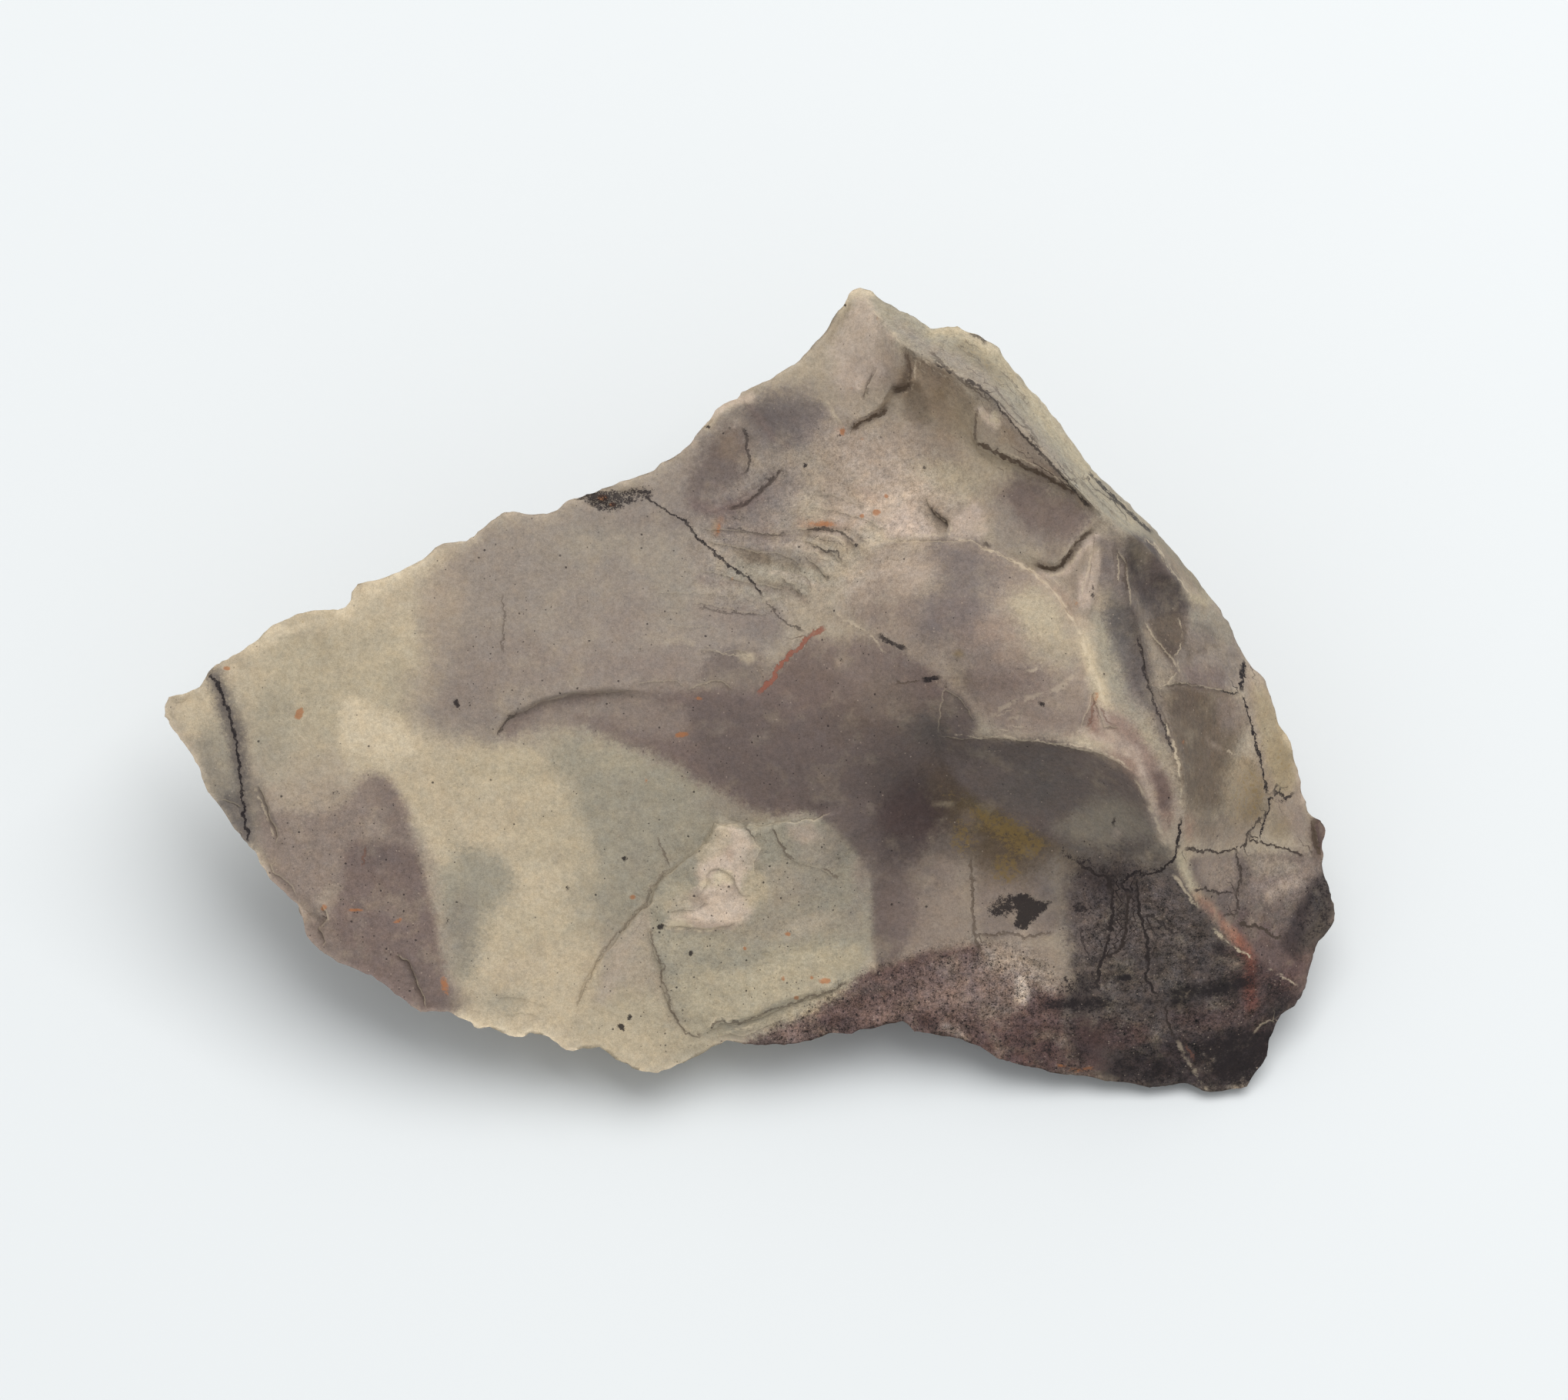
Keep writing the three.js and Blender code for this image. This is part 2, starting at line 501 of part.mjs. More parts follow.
// ---- The broad face ----
const rim = divided(rimWithHeights(RIM), EDGE_STEP, true);
const faceInner = [];
for (const crest of FACE_CRESTS) {
  const clear = [];
  addClear(clear, divided(crest, CREST_STEP), 0.3);
  addClear(faceInner, clear.filter(([x, y]) =>
    isInside(rim, x, y) && rim.every((p) => Math.hypot(p[0] - x, p[1] - y) > 0.45)), 0.4);
}
for (const { line } of LEDGES) {
  addClear(faceInner, ledgeRows(line).filter(([x, y]) =>
    isInside(rim, x, y) && rim.every((p) => Math.hypot(p[0] - x, p[1] - y) > 0.45)), 0.4);
}
faceInner.push(...filling(rim, [...rim, ...faceInner], FACE_STEP, () => true));
const face = triangulated(rim, faceInner);
const faceHeights = stretched(face, FACE_BOWLS, -1).map(
  (height, i) => height + (i < rim.length ? 0 : ledgeRise(...face.points[i])),
);

// ---- The underside ----
const onTable = ([along, up, aboveTable]) => [along, up, outOfFace(up, aboveTable)];
const spot = divided(FLAT_SPOT.map(onTable), 3, true);
const undersideInner = spot.slice();
for (const crest of UNDERSIDE_CRESTS) {
  addClear(undersideInner, divided(crest.map(onTable), UNDERSIDE_STEP), 1.1);
}
const clearOfSpot = (x, y) => !isInside(FLAT_SPOT, x, y);
undersideInner.push(
  ...filling(rim, [...rim, ...undersideInner], UNDERSIDE_STEP, clearOfSpot),
);
const underside = triangulated(rim, undersideInner);
const undersideHeights = stretched(underside, UNDERSIDE_BOWLS, 1);

// ---- Both joined at the rim, leaned back and set on the table ----
const positions = [];
face.points.forEach(([along, up], i) => positions.push(along, up, faceHeights[i]));
underside.points.forEach(([along, up], i) => {
  if (i >= rim.length) positions.push(along, up, undersideHeights[i]);
});
const undersideShift = face.points.length - rim.length;
const outward = ({ points }, [a, b, c]) =>
  (points[b][0] - points[a][0]) * (points[c][1] - points[a][1]) >
  (points[b][1] - points[a][1]) * (points[c][0] - points[a][0]);
const indices = [];
for (const triangle of face.triangles) {
  const [a, b, c] = triangle;
  indices.push(...(outward(face, triangle) ? [a, b, c] : [a, c, b]));
}
for (const triangle of underside.triangles) {
  const [a, b, c] = triangle.map((i) => (i < rim.length ? i : i + undersideShift));
  indices.push(...(outward(underside, triangle) ? [a, c, b] : [a, b, c]));
}

const geometry = new THREE.BufferGeometry();
geometry.setAttribute("position", new THREE.Float32BufferAttribute(positions, 3));
geometry.setIndex(indices);
geometry.rotateX(LEAN);
geometry.translate(0, 0, FACE_RISE);
geometry.computeBoundingBox();
const box = geometry.boundingBox;
geometry.translate(-(box.min.x + box.max.x) / 2, -(box.min.y + box.max.y) / 2, 0);
geometry.computeVertexNormals();

const jasper = new THREE.MeshStandardMaterial({
  color: 0x9c8f82,
  roughness: 0.55,
  metalness: 0,
});
const stone = new THREE.Mesh(geometry, jasper);
stone.name = "jasper_rough";

const part = new THREE.Group();
part.add(stone);

export default part;
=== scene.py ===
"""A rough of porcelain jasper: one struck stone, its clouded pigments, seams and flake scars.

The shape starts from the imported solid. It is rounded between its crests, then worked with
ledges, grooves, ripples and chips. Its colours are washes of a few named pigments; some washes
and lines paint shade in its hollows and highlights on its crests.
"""

import math

import bpy
import numpy as np
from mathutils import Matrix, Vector
from mathutils.kdtree import KDTree


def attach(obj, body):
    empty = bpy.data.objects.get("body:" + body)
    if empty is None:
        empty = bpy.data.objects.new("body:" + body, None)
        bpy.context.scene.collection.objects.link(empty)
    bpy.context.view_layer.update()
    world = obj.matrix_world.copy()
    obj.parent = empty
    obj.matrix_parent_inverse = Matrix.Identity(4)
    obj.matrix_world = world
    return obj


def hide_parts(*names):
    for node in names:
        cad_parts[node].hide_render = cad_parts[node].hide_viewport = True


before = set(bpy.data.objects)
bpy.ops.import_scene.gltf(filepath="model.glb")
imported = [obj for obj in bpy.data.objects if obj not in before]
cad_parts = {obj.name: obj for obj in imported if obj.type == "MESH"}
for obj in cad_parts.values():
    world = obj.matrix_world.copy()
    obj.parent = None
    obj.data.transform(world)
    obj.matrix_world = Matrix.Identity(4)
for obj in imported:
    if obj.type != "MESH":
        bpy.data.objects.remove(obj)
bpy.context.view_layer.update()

# ---- The broad face ----
# A place on the broad face is a column and a row of a drawing grid laid on it, rows counted
# downwards. The grid is drawn as it is seen from the standpoint of the camera.
SQUARE = 0.06  # mm, side of one grid square
TIP_COLUMN = 211  # column of the left tip
FOOT_ROW = 1425  # row of the face's lower border
LEAN = math.radians(22.0)  # lean of the broad face from level
HALF_LENGTH = 46.0  # mm, from the left tip to the middle of the stone
FACE_NEAR = 29.821  # mm, from the middle to the face's lower border
FACE_RISE = 7.0  # mm, height of that border above the table
SIGHT_COLUMN = 1019  # where the camera looks, on the grid
SIGHT_ROW = 910
SIGHT_HEIGHT = 3.0  # mm out of the face
SIGHT_DISTANCE = 900.0  # mm from the camera to there
MM = 0.001  # m


def face_numbers(places):
    """Along, up and out of the face in mm, for places in metres."""
    x, y, z = (places / MM).T
    y = y + FACE_NEAR
    z = z - FACE_RISE
    along = x + HALF_LENGTH
    up = y * math.cos(LEAN) + z * math.sin(LEAN)
    out = z * math.cos(LEAN) - y * math.sin(LEAN)
    return along, up, out


def face_place(along, up, out):
    """The place in metres of a point of the face given in mm."""
    y = up * math.cos(LEAN) - out * math.sin(LEAN) - FACE_NEAR
    z = up * math.sin(LEAN) + out * math.cos(LEAN) + FACE_RISE
    return Vector((along - HALF_LENGTH, y, z)) * MM


def grid_places(places):
    """Column and row of places in metres, as seen from the camera's standpoint."""
    along, up, out = face_numbers(places)
    nearer = SIGHT_DISTANCE / (SIGHT_DISTANCE - (out - SIGHT_HEIGHT))
    column = SIGHT_COLUMN + (along / SQUARE - (SIGHT_COLUMN - TIP_COLUMN)) * nearer
    row = SIGHT_ROW - (up / SQUARE - (FOOT_ROW - SIGHT_ROW)) * nearer
    return column, row


# ---- Lines on the face: seams, ledges, grooves and crests ----
def line(*numbers):
    """The points of a line or an outline, from pairs of a column and a row."""
    return list(zip(numbers[::2], numbers[1::2]))


SEAMS_AND_SHADE_LINES = [
    # cracks, veins and seams of the stone, and dark lines of painted shade under ledges, lips and hackles
    # (half width in mm, force, tone: 0 soot to 1 brick)
    # left tip and the middle of the face
    (0.1, 0.95, 0.0, line(268,870, 284,892, 297,925, 307,965, 319,1075, 325,1096)),
    (0.075, 0.85, 0.05, line(836,645, 848,652, 858,661, 868,664, 890,677, 908,700, 920,712, 950,737,
     966,746, 978,757, 992,776)),
    (0.06, 0.6, 0.15, line(994,779, 1016,806, 1046,822)),
    (0.17, 0.75, 1.0, line(985,903, 996,890, 1004,884, 1012,868, 1032,846, 1045,836, 1052,826, 1074,816)),
    (0.17, 0.95, 0.0, line(1196,886, 1224,879)),
    (0.09, 0.6, 0.35, line(1160,889, 1197,885)),
    # dome and shoulder
    (0.13, 0.8, 0.05, line(1138,824, 1146,828, 1152,834, 1172,840, 1180,846)),
    (0.12, 1.0, 0.0, line(1617,856, 1613,901)),
    (0.08, 0.8, 0.0, line(1584,897, 1613,903)),
    # right side
    (0.07, 0.95, 0.05, line(1616,902, 1635,975, 1650,1046, 1637,1092)),
    (0.11, 0.8, 0.0, line(1648,1031, 1655,1034, 1663,1032, 1670,1037, 1684,1030)),
    (0.1, 0.7, 0.0, line(1652,1032, 1663,1018)),
    (0.09, 0.9, 0.2, line(1538,1102, 1560,1107, 1572,1106, 1582,1109, 1609,1103, 1626,1092, 1676,1105,
     1684,1110, 1697,1113)),
    (0.08, 0.75, 0.1, line(1622,1094, 1621,1085, 1625,1078, 1642,1060)),
    # lower right corner and foot
    (0.09, 0.85, 0.2, line(1609,1105, 1608,1115, 1613,1137, 1607,1160, 1610,1191)),
    (0.07, 0.7, 0.2, line(1586,1193, 1598,1190, 1611,1191)),
    (0.13, 1.0, 0.25, line(1607,1198, 1622,1204, 1634,1204, 1667,1222)),
    (0.08, 0.8, 0.15, line(1549,1157, 1558,1158, 1566,1156, 1576,1160, 1606,1160)),
    (0.085, 1.0, 0.1, line(1536,1062, 1527,1114, 1520,1124, 1510,1130, 1479,1141)),
    (0.11, 0.95, 0.05, line(1488,1133, 1474,1134, 1466,1138, 1456,1150, 1460,1155, 1468,1156, 1474,1162)),
    # cracks of the dark foot
    (0.11, 1.0, 0.1, line(1479,1141, 1477,1150, 1482,1189, 1492,1226, 1490,1272, 1495,1283, 1501,1290,
     1509,1292)),
    (0.09, 0.85, 0.15, line(1515,1302, 1518,1328, 1526,1352)),
    (0.115, 1.0, 0.1, line(1396,1118, 1424,1136, 1437,1139, 1443,1146, 1446,1156, 1444,1168, 1446,1181,
     1443,1210, 1437,1236, 1429,1258, 1426,1282)),
    (0.2, 0.8, 0.1, line(1442,1138, 1444,1162)),
    (0.07, 0.7, 0.1, line(1440,1196, 1437,1220)),
    (0.11, 0.95, 0.15, line(1467,1157, 1464,1207, 1459,1230, 1435,1248)),
    (0.09, 0.75, 0.1, line(1483,1188, 1501,1193, 1529,1216)),
    (0.07, 0.7, 0.1, line(1403,1204, 1408,1228, 1416,1246)),
    # brown seams beside them
    (0.1, 0.65, 0.4, line(1262,1112, 1266,1215, 1274,1240)),
    (0.08, 0.6, 0.4, line(1266,1216, 1317,1213, 1330,1220, 1358,1213, 1370,1212)),
    # knob, dark scar, ridge and outer crest
    (0.17, 0.9, 0.35, line(1708,1062, 1708,1090, 1711,1102, 1725,1116, 1729,1124)),
    (0.1, 0.45, 0.75, line(1539,1357, 1553,1380)),
    (0.1, 0.85, 0.1, line(1449,1061, 1448,1076)),
    (0.09, 0.75, 0.1, line(1212,470, 1272,502, 1285,513, 1326,562, 1378,615, 1396,638, 1419,661)),
    (0.06, 0.75, 0.05, line(1479,826, 1489,880, 1500,914, 1514,946, 1524,980)),
    # low plate: dark lines along its edges that paint the shade under its risers, and a crease
    (0.07, 0.5, 0.45, line(854,1086, 860,1104, 872,1128)),
    (0.07, 0.35, 0.45, line(872,1129, 860,1138, 849,1150, 843,1162, 841,1176, 826,1186, 816,1200, 788,1230,
     778,1247, 748,1310)),
    (0.07, 0.5, 0.4, line(845,1206, 847,1222, 857,1249, 864,1255, 859,1266, 873,1316, 882,1331, 893,1343,
     902,1347, 914,1344)),
    (0.07, 0.5, 0.35, line(922,1338, 928,1330, 938,1328, 954,1330, 970,1328, 1008,1311, 1079,1289,
     1090,1281, 1104,1277)),
    (0.08, 0.55, 0.4, line(1001,1076, 1008,1082, 1017,1104, 1024,1112, 1034,1119)),
    (0.08, 0.5, 0.4, line(1066,1128, 1084,1138, 1090,1146)),
    (0.07, 0.5, 0.2, line(966,1072, 981,1094)),
    # upper scars and rim
    (0.1, 0.6, 0.15, line(945,660, 956,660, 970,655, 1018,609)),
    (0.1, 0.65, 0.1, line(963,554, 968,562, 971,572, 974,598, 973,606, 967,618)),
    (0.1, 0.8, 0.0, line(1414,612, 1432,632, 1498,695)),
    (0.12, 0.7, 0.1, line(1257,432, 1275,441, 1284,448)),
    (0.14, 0.6, 0.1, line(1610,826, 1646,876)),
    # hair lines of the left wing, and a painted shade line under the hinge
    (0.06, 0.45, 0.3, line(652,770, 655,800, 651,850)),
    (0.09, 0.6, 0.7, line(475,1098, 472,1128)),
    (0.07, 0.6, 0.1, line(645,958, 656,940, 664,932, 676,926)),
    # hackles: dark lines that paint the shade of their risers
    (0.08, 0.6, 0.1, line(1046,687, 1088,690, 1098,695, 1112,708)),
    (0.08, 0.6, 0.1, line(1052,710, 1080,716, 1088,720, 1094,730)),
    (0.07, 0.45, 0.1, line(942,686, 996,695, 1024,694)),
    (0.06, 0.4, 0.1, line(905,790, 985,800)),
    (0.07, 0.4, 0.1, line(1034,764, 1040,770, 1043,778)),
    (0.06, 0.4, 0.1, line(1068,744, 1074,750, 1077,758)),
    # peak and bench: painted shadow lines in the notch, under the lip and along the bench
    (0.16, 0.9, 0.45, line(1160,509, 1181,503, 1184,494)),
    (0.12, 0.75, 0.45, line(1183,500, 1184,484, 1176,456)),
    (0.13, 0.85, 0.45, line(1106,560, 1113,552, 1148,536, 1152,528)),
    (0.1, 0.6, 0.5, line(1270,528, 1267,560, 1268,576)),
    (0.12, 0.9, 0.45, line(1267,574, 1342,613, 1357,618, 1400,643)),
    # flutes, ridge and outer face; the first two paint the shadow under the hooked lip
    (0.14, 0.85, 0.35, line(1346,733, 1358,738, 1370,740, 1380,735, 1396,712)),
    (0.1, 0.75, 0.4, line(1394,714, 1402,703, 1420,689)),
    (0.1, 0.6, 0.3, line(1462,722, 1464,738, 1462,752, 1464,770)),
    (0.08, 0.5, 0.45, line(1134,482, 1120,520)),
    (0.07, 0.55, 0.3, line(1206,455, 1257,500, 1290,524)),
    (0.06, 0.4, 0.3, line(1290,500, 1352,575)),
    (0.06, 0.4, 0.3, line(1300,480, 1318,500, 1340,530)),
    (0.05, 0.35, 0.3, line(1240,446, 1280,474)),
    (0.06, 0.4, 0.3, line(1380,600, 1404,626, 1452,672)),
    (0.07, 0.5, 0.3, line(1512,894, 1530,889, 1548,890, 1566,894)),
    # crushed edge and nicks
    (0.07, 0.6, 0.7, line(1424,908, 1417,936, 1412,948)),
    (0.06, 0.5, 0.7, line(1430,918, 1436,932, 1444,944)),
    (0.1, 0.6, 0.2, line(1209,656, 1214,666, 1230,677, 1229,688)),
    (0.14, 0.7, 0.2, line(1276,706, 1288,713)),
]
GLINTS = [
    # pale lines on crests, lips and edges: painted highlights, partly pale bruised stone
    # (half width in mm, force, tone: 0 ivory to 1 rose)
    # dome and crests
    (0.09, 0.35, 0.3, line(1122,707, 1153,702, 1167,704, 1195,694, 1230,697, 1258,703)),
    (0.13, 0.5, 0.2, line(1276,714, 1292,716, 1336,738, 1346,746, 1378,778, 1400,815)),
    (0.16, 0.5, 0.1, line(1400,815, 1418,862, 1437,922)),
    (0.09, 0.6, 0.1, line(1510,932, 1527,974, 1532,996, 1536,1035, 1536,1056)),
    (0.07, 0.55, 0.4, line(1239,953, 1276,959, 1307,957, 1333,963, 1350,963, 1377,968, 1401,969, 1443,982,
     1459,991, 1471,1003)),
    (0.12, 0.7, 0.05, line(1406,970, 1423,976)),
    (0.12, 0.5, 0.3, line(1474,1008, 1500,1061, 1516,1102)),
    (0.12, 0.65, 0.15, line(1524,1132, 1545,1164, 1559,1181)),
    (0.09, 0.75, 0.1, line(1573,1205, 1600,1228, 1632,1249)),
    (0.09, 0.6, 0.3, line(1648,1258, 1688,1282)),
    # peak, ridge and bench
    (0.09, 0.5, 0.5, line(1196,466, 1206,472, 1214,480, 1248,500, 1262,512)),
    (0.07, 0.4, 0.2, line(1124,386, 1136,406, 1150,424, 1176,452)),
    (0.2, 0.7, 0.1, line(1158,432, 1164,438)),
    (0.07, 0.7, 0.3, line(1302,585, 1360,612, 1398,636)),
    (0.07, 0.6, 0.4, line(1190,462, 1188,494, 1184,508, 1172,513)),
    (0.06, 0.5, 0.2, line(1108,548, 1118,541, 1148,528)),
    # hooked lip, facets and nick
    (0.08, 0.6, 0.3, line(1350,744, 1364,748, 1380,745, 1392,733, 1416,703)),
    (0.07, 0.5, 0.1, line(1486,700, 1502,708, 1518,734, 1552,780)),
    (0.06, 0.45, 0.1, line(1530,802, 1538,822, 1532,846, 1522,858)),
    (0.08, 0.6, 0.3, line(1118,702, 1164,703, 1184,700)),
    (0.07, 0.55, 0.2, line(1232,676, 1238,688, 1234,702)),
    # pale bruise on the bench, partly a painted highlight, and faint lines of the dome and the upper face
    (0.16, 0.8, 0.15, line(1272,534, 1280,542, 1288,546, 1294,540)),
    (0.1, 0.45, 0.3, line(1075,776, 1096,804, 1108,809, 1133,827, 1152,850)),
    (0.1, 0.4, 0.1, line(1072,520, 1094,552)),
    # low plate
    (0.12, 0.7, 0.0, line(862,1204, 900,1208, 930,1209, 945,1207)),
    (0.2, 0.7, 0.0, line(868,1201, 880,1199, 893,1203)),
    (0.08, 0.6, 0.0, line(916,1340, 928,1326, 934,1322, 946,1325, 970,1323)),
    (0.08, 0.5, 0.0, line(934,1339, 940,1343, 950,1341, 980,1333, 994,1326)),
    (0.07, 0.4, 0.1, line(928,1074, 952,1073, 964,1075)),
    # pale lines and streaks
    (0.2, 0.3, 0.4, line(1285,934, 1292,926, 1320,911, 1366,900, 1384,890, 1397,876, 1403,862)),
    (0.14, 0.25, 0.4, line(1286,940, 1320,932, 1335,922)),
    (0.09, 0.4, 0.3, line(1332,874, 1342,872, 1357,859)),
    (0.09, 0.9, 0.0, line(1657,1329, 1670,1322, 1677,1321)),
    (0.16, 0.35, 0.3, line(1528,1352, 1544,1380, 1566,1412)),
    (0.22, 0.6, 0.2, line(1564,1410, 1575,1423)),
    (0.06, 0.45, 0.3, line(383,950, 402,968)),
    (0.06, 0.45, 0.4, line(1584,970, 1610,984)),
    # flutes, hackles and tip chip
    (0.09, 0.4, 0.1, line(1418,716, 1416,735, 1404,775)),
    (0.07, 0.4, 0.1, line(1450,716, 1455,766)),
    (0.08, 0.35, 0.2, line(1530,856, 1534,880, 1532,890)),
    (0.08, 0.35, 0.0, line(1050,693, 1082,697, 1094,702, 1102,710)),
    (0.07, 0.3, 0.0, line(1050,716, 1078,726, 1086,734)),
    (0.06, 0.3, 0.0, line(915,840, 950,852, 972,852, 980,846)),
    (0.08, 0.4, 0.1, line(330,1022, 351,1068, 356,1090)),
]
LEDGE_LINES = [
    # (rise in mm of the side on its left as it is walked, reach in mm)
    # middle of the left face
    (0.1, 1.6, line(640,962, 653,941, 662,932, 690,920, 700,913, 748,902, 825,896)),
    (0.1, 1.4, line(826,890, 850,886, 868,886, 880,888, 892,895)),
    (0.14, 1.4, line(893,899, 912,889, 925,886, 938,887, 952,898)),
    # peak, hooked lip, dome and bench
    (0.14, 1.0, line(1160,508, 1181,502, 1183,480, 1179,454)),
    (0.14, 1.0, line(1108,563, 1114,551, 1146,535, 1151,519)),
    (0.14, 1.0, line(1340,733, 1352,738, 1370,742, 1382,734, 1405,701, 1419,688)),
    (0.24, 1.0, line(1203,645, 1208,658, 1219,671, 1233,680, 1228,694)),
    (0.2, 1.8, line(1405,830, 1396,806, 1375,775, 1360,758, 1345,745, 1325,733, 1300,719, 1280,713,
     1262,702, 1230,704, 1160,703, 1122,705)),
    (0.14, 1.2, line(1266,545, 1264,568, 1270,583, 1298,596, 1352,616, 1402,642, 1416,655)),
    # low plate
    (0.24, 2.4, line(1086,1054, 1070,1058, 1058,1066, 1046,1064, 1034,1069, 1022,1066, 1008,1068, 998,1073,
     986,1075, 974,1071, 963,1076, 952,1071, 940,1074, 929,1070, 924,1080, 922,1092)),
    (0.2, 2.2, line(922,1092, 858,1147, 848,1158)),
    (0.13, 1.6, line(848,1158, 848,1172, 824,1192, 779,1247, 762,1274, 748,1312)),
    (0.12, 1.0, line(845,1198, 842,1210, 850,1238, 862,1262, 858,1275, 872,1312, 888,1339, 902,1348,
     918,1345)),
    (0.1, 1.0, line(1004,1068, 1006,1076, 1012,1086, 1018,1108, 1028,1117, 1068,1131, 1080,1139,
     1090,1150)),
    (0.16, 1.2, line(905,1350, 932,1336, 935,1328, 948,1333, 982,1325, 1011,1311, 1026,1308, 1041,1300,
     1060,1297, 1080,1290, 1094,1278, 1120,1270)),
    (0.16, 1.4, line(930,1350, 950,1345, 966,1348, 1004,1330, 1022,1325, 1040,1316)),
    (0.24, 0.9, line(856,1200, 868,1204, 915,1208, 930,1207, 946,1203, 958,1196)),
    (0.22, 0.8, line(905,1165, 918,1150, 915,1138, 924,1131, 934,1128, 952,1140, 958,1152, 966,1162,
     976,1166)),
    (0.2, 0.8, line(985,1140, 980,1130, 978,1120, 986,1112, 990,1103, 982,1096, 980,1088, 985,1078)),
    (0.16, 0.8, line(868,1188, 884,1182, 898,1184, 922,1172)),
    # chips along the left rim
    (0.26, 1.4, line(334,1020, 350,1052, 352,1064, 357,1076, 360,1088, 357,1099)),
    (0.18, 1.0, line(283,1043, 292,1041, 302,1043, 314,1050)),
    (0.28, 1.2, line(416,1176, 424,1186, 426,1195, 412,1208, 422,1224, 419,1232)),
    (0.3, 1.4, line(513,1240, 530,1252, 536,1263, 551,1300, 552,1313)),
    (0.18, 0.9, line(350,1120, 356,1134, 368,1142, 378,1152, 384,1166)),
    (0.08, 0.9, line(645,1299, 662,1297, 680,1298, 716,1311)),
    (0.07, 0.9, line(652,1321, 675,1317, 692,1319, 708,1326)),
    # dark scar
    (0.22, 1.4, line(1213,958, 1266,960, 1290,959, 1340,963, 1420,978, 1450,989, 1475,1003)),
    (0.2, 0.9, line(1405,950, 1420,905, 1436,945, 1460,948)),
    (0.18, 1.0, line(1218,955, 1228,898, 1245,905, 1258,922, 1268,940)),
    # right side and lower right corner
    (0.2, 1.4, line(1506,893, 1532,887, 1616,904)),
    (0.2, 0.9, line(1450,712, 1462,735, 1470,792)),
    (0.24, 1.0, line(1486,808, 1500,830, 1520,852, 1530,872)),
    (0.18, 0.9, line(1530,872, 1518,888, 1503,898)),
    (0.25, 1.0, line(1705,1060, 1706,1080, 1712,1100, 1726,1112)),
    (0.2, 1.0, line(1668,1336, 1652,1326, 1640,1330, 1628,1345)),
    (0.2, 1.0, line(1655,1330, 1664,1322, 1674,1318, 1686,1322)),
    # hackles
    (0.17, 0.8, line(1030,690, 1062,687, 1088,690, 1098,695, 1113,711)),
    (0.17, 0.8, line(1040,703, 1064,710, 1076,716, 1086,723, 1092,733)),
    (0.13, 0.7, line(1046,722, 1064,739, 1075,755)),
    (0.13, 0.6, line(1036,744, 1046,750, 1052,757, 1054,766)),
    (0.14, 0.7, line(1012,748, 1032,761, 1040,778)),
    (0.13, 0.8, line(1046,660, 1064,660, 1124,675, 1136,681, 1146,690)),
    (0.1, 0.7, line(1058,644, 1080,646, 1128,660)),
    (0.12, 1.0, line(905,686, 925,690, 945,690, 1004,697, 1034,693)),
    (0.13, 1.1, line(915,703, 986,719, 1015,722, 1030,728, 1040,736)),
    (0.12, 1.1, line(905,742, 928,745, 968,757, 1008,763, 1024,768)),
    (0.1, 1.0, line(896,783, 920,786, 960,795, 1000,799)),
    (0.07, 1.0, line(850,770, 880,772, 905,771, 960,778)),
    (0.09, 1.0, line(905,845, 922,846, 940,850, 955,846, 970,849, 982,855)),
    (0.06, 0.9, line(860,812, 890,816, 915,815, 940,820)),
    # peak
    (0.2, 0.9, line(1140,478, 1128,500, 1121,522)),
]
GROOVES = [
    # (depth in mm, half width in mm)
    # upper scars
    (0.2, 0.4, line(938,662, 958,657, 980,644, 1016,606)),
    (0.14, 0.3, line(962,552, 970,573, 974,594, 971,614, 958,632)),
    (0.1, 0.35, line(978,522, 992,545, 1008,566)),
    # flutes
    (0.24, 0.3, line(1418,694, 1420,712, 1414,745, 1404,780)),
    (0.24, 0.25, line(1446,705, 1451,730, 1452,762)),
    (0.2, 0.25, line(1400,694, 1385,740)),
    (0.16, 0.2, line(1430,700, 1433,735, 1428,775, 1418,800)),
    # low plate
    (0.12, 0.5, line(1070,1120, 1085,1132, 1092,1150)),
    # crests
    (0.25, 0.45, line(1480,835, 1487,870, 1495,897, 1517,948, 1523,975)),
    (0.18, 0.45, line(1556,1150, 1575,1175, 1600,1200, 1640,1232)),
    # black pits of the upper rim
    (0.35, 0.35, line(752,645, 772,654, 798,662)),
    (0.35, 0.35, line(778,641, 838,641)),
]
RIPPLES = [
    # (middle of the rings, spacing in mm, height in mm, patch of face they cross)
    # left face, above and below
    ((900, 700), 2.6, 0.05, line(450,800, 620,720, 860,640, 900,800, 860,890, 640,930, 460,880)),
    ((700, 930), 3.2, 0.06, line(340,960, 620,960, 860,1000, 800,1180, 740,1300, 560,1300, 380,1170)),
    # low plate
    ((950, 1060), 2.1, 0.09, line(860,1210, 1120,1150, 1130,1250, 1040,1300, 930,1330, 870,1290)),
    # upper scar
    ((1250, 480), 2.2, 0.06, line(1000,590, 1200,560, 1380,640, 1300,700, 1120,690, 1000,660)),
    # dome
    ((1210, 960), 2.4, 0.06, line(1080,740, 1250,720, 1370,790, 1400,880, 1300,940, 1120,880)),
    # dark scar
    ((1480, 990), 2.2, 0.05, line(1230,970, 1380,985, 1470,1015, 1500,1090, 1360,1080, 1260,1040)),
    # right scar
    ((1520, 880), 1.9, 0.07, line(1530,910, 1610,920, 1630,1080, 1545,1090)),
    # dark foot
    ((1400, 1120), 2.4, 0.06, line(1180,1250, 1400,1150, 1600,1250, 1580,1400, 1300,1360)),
]

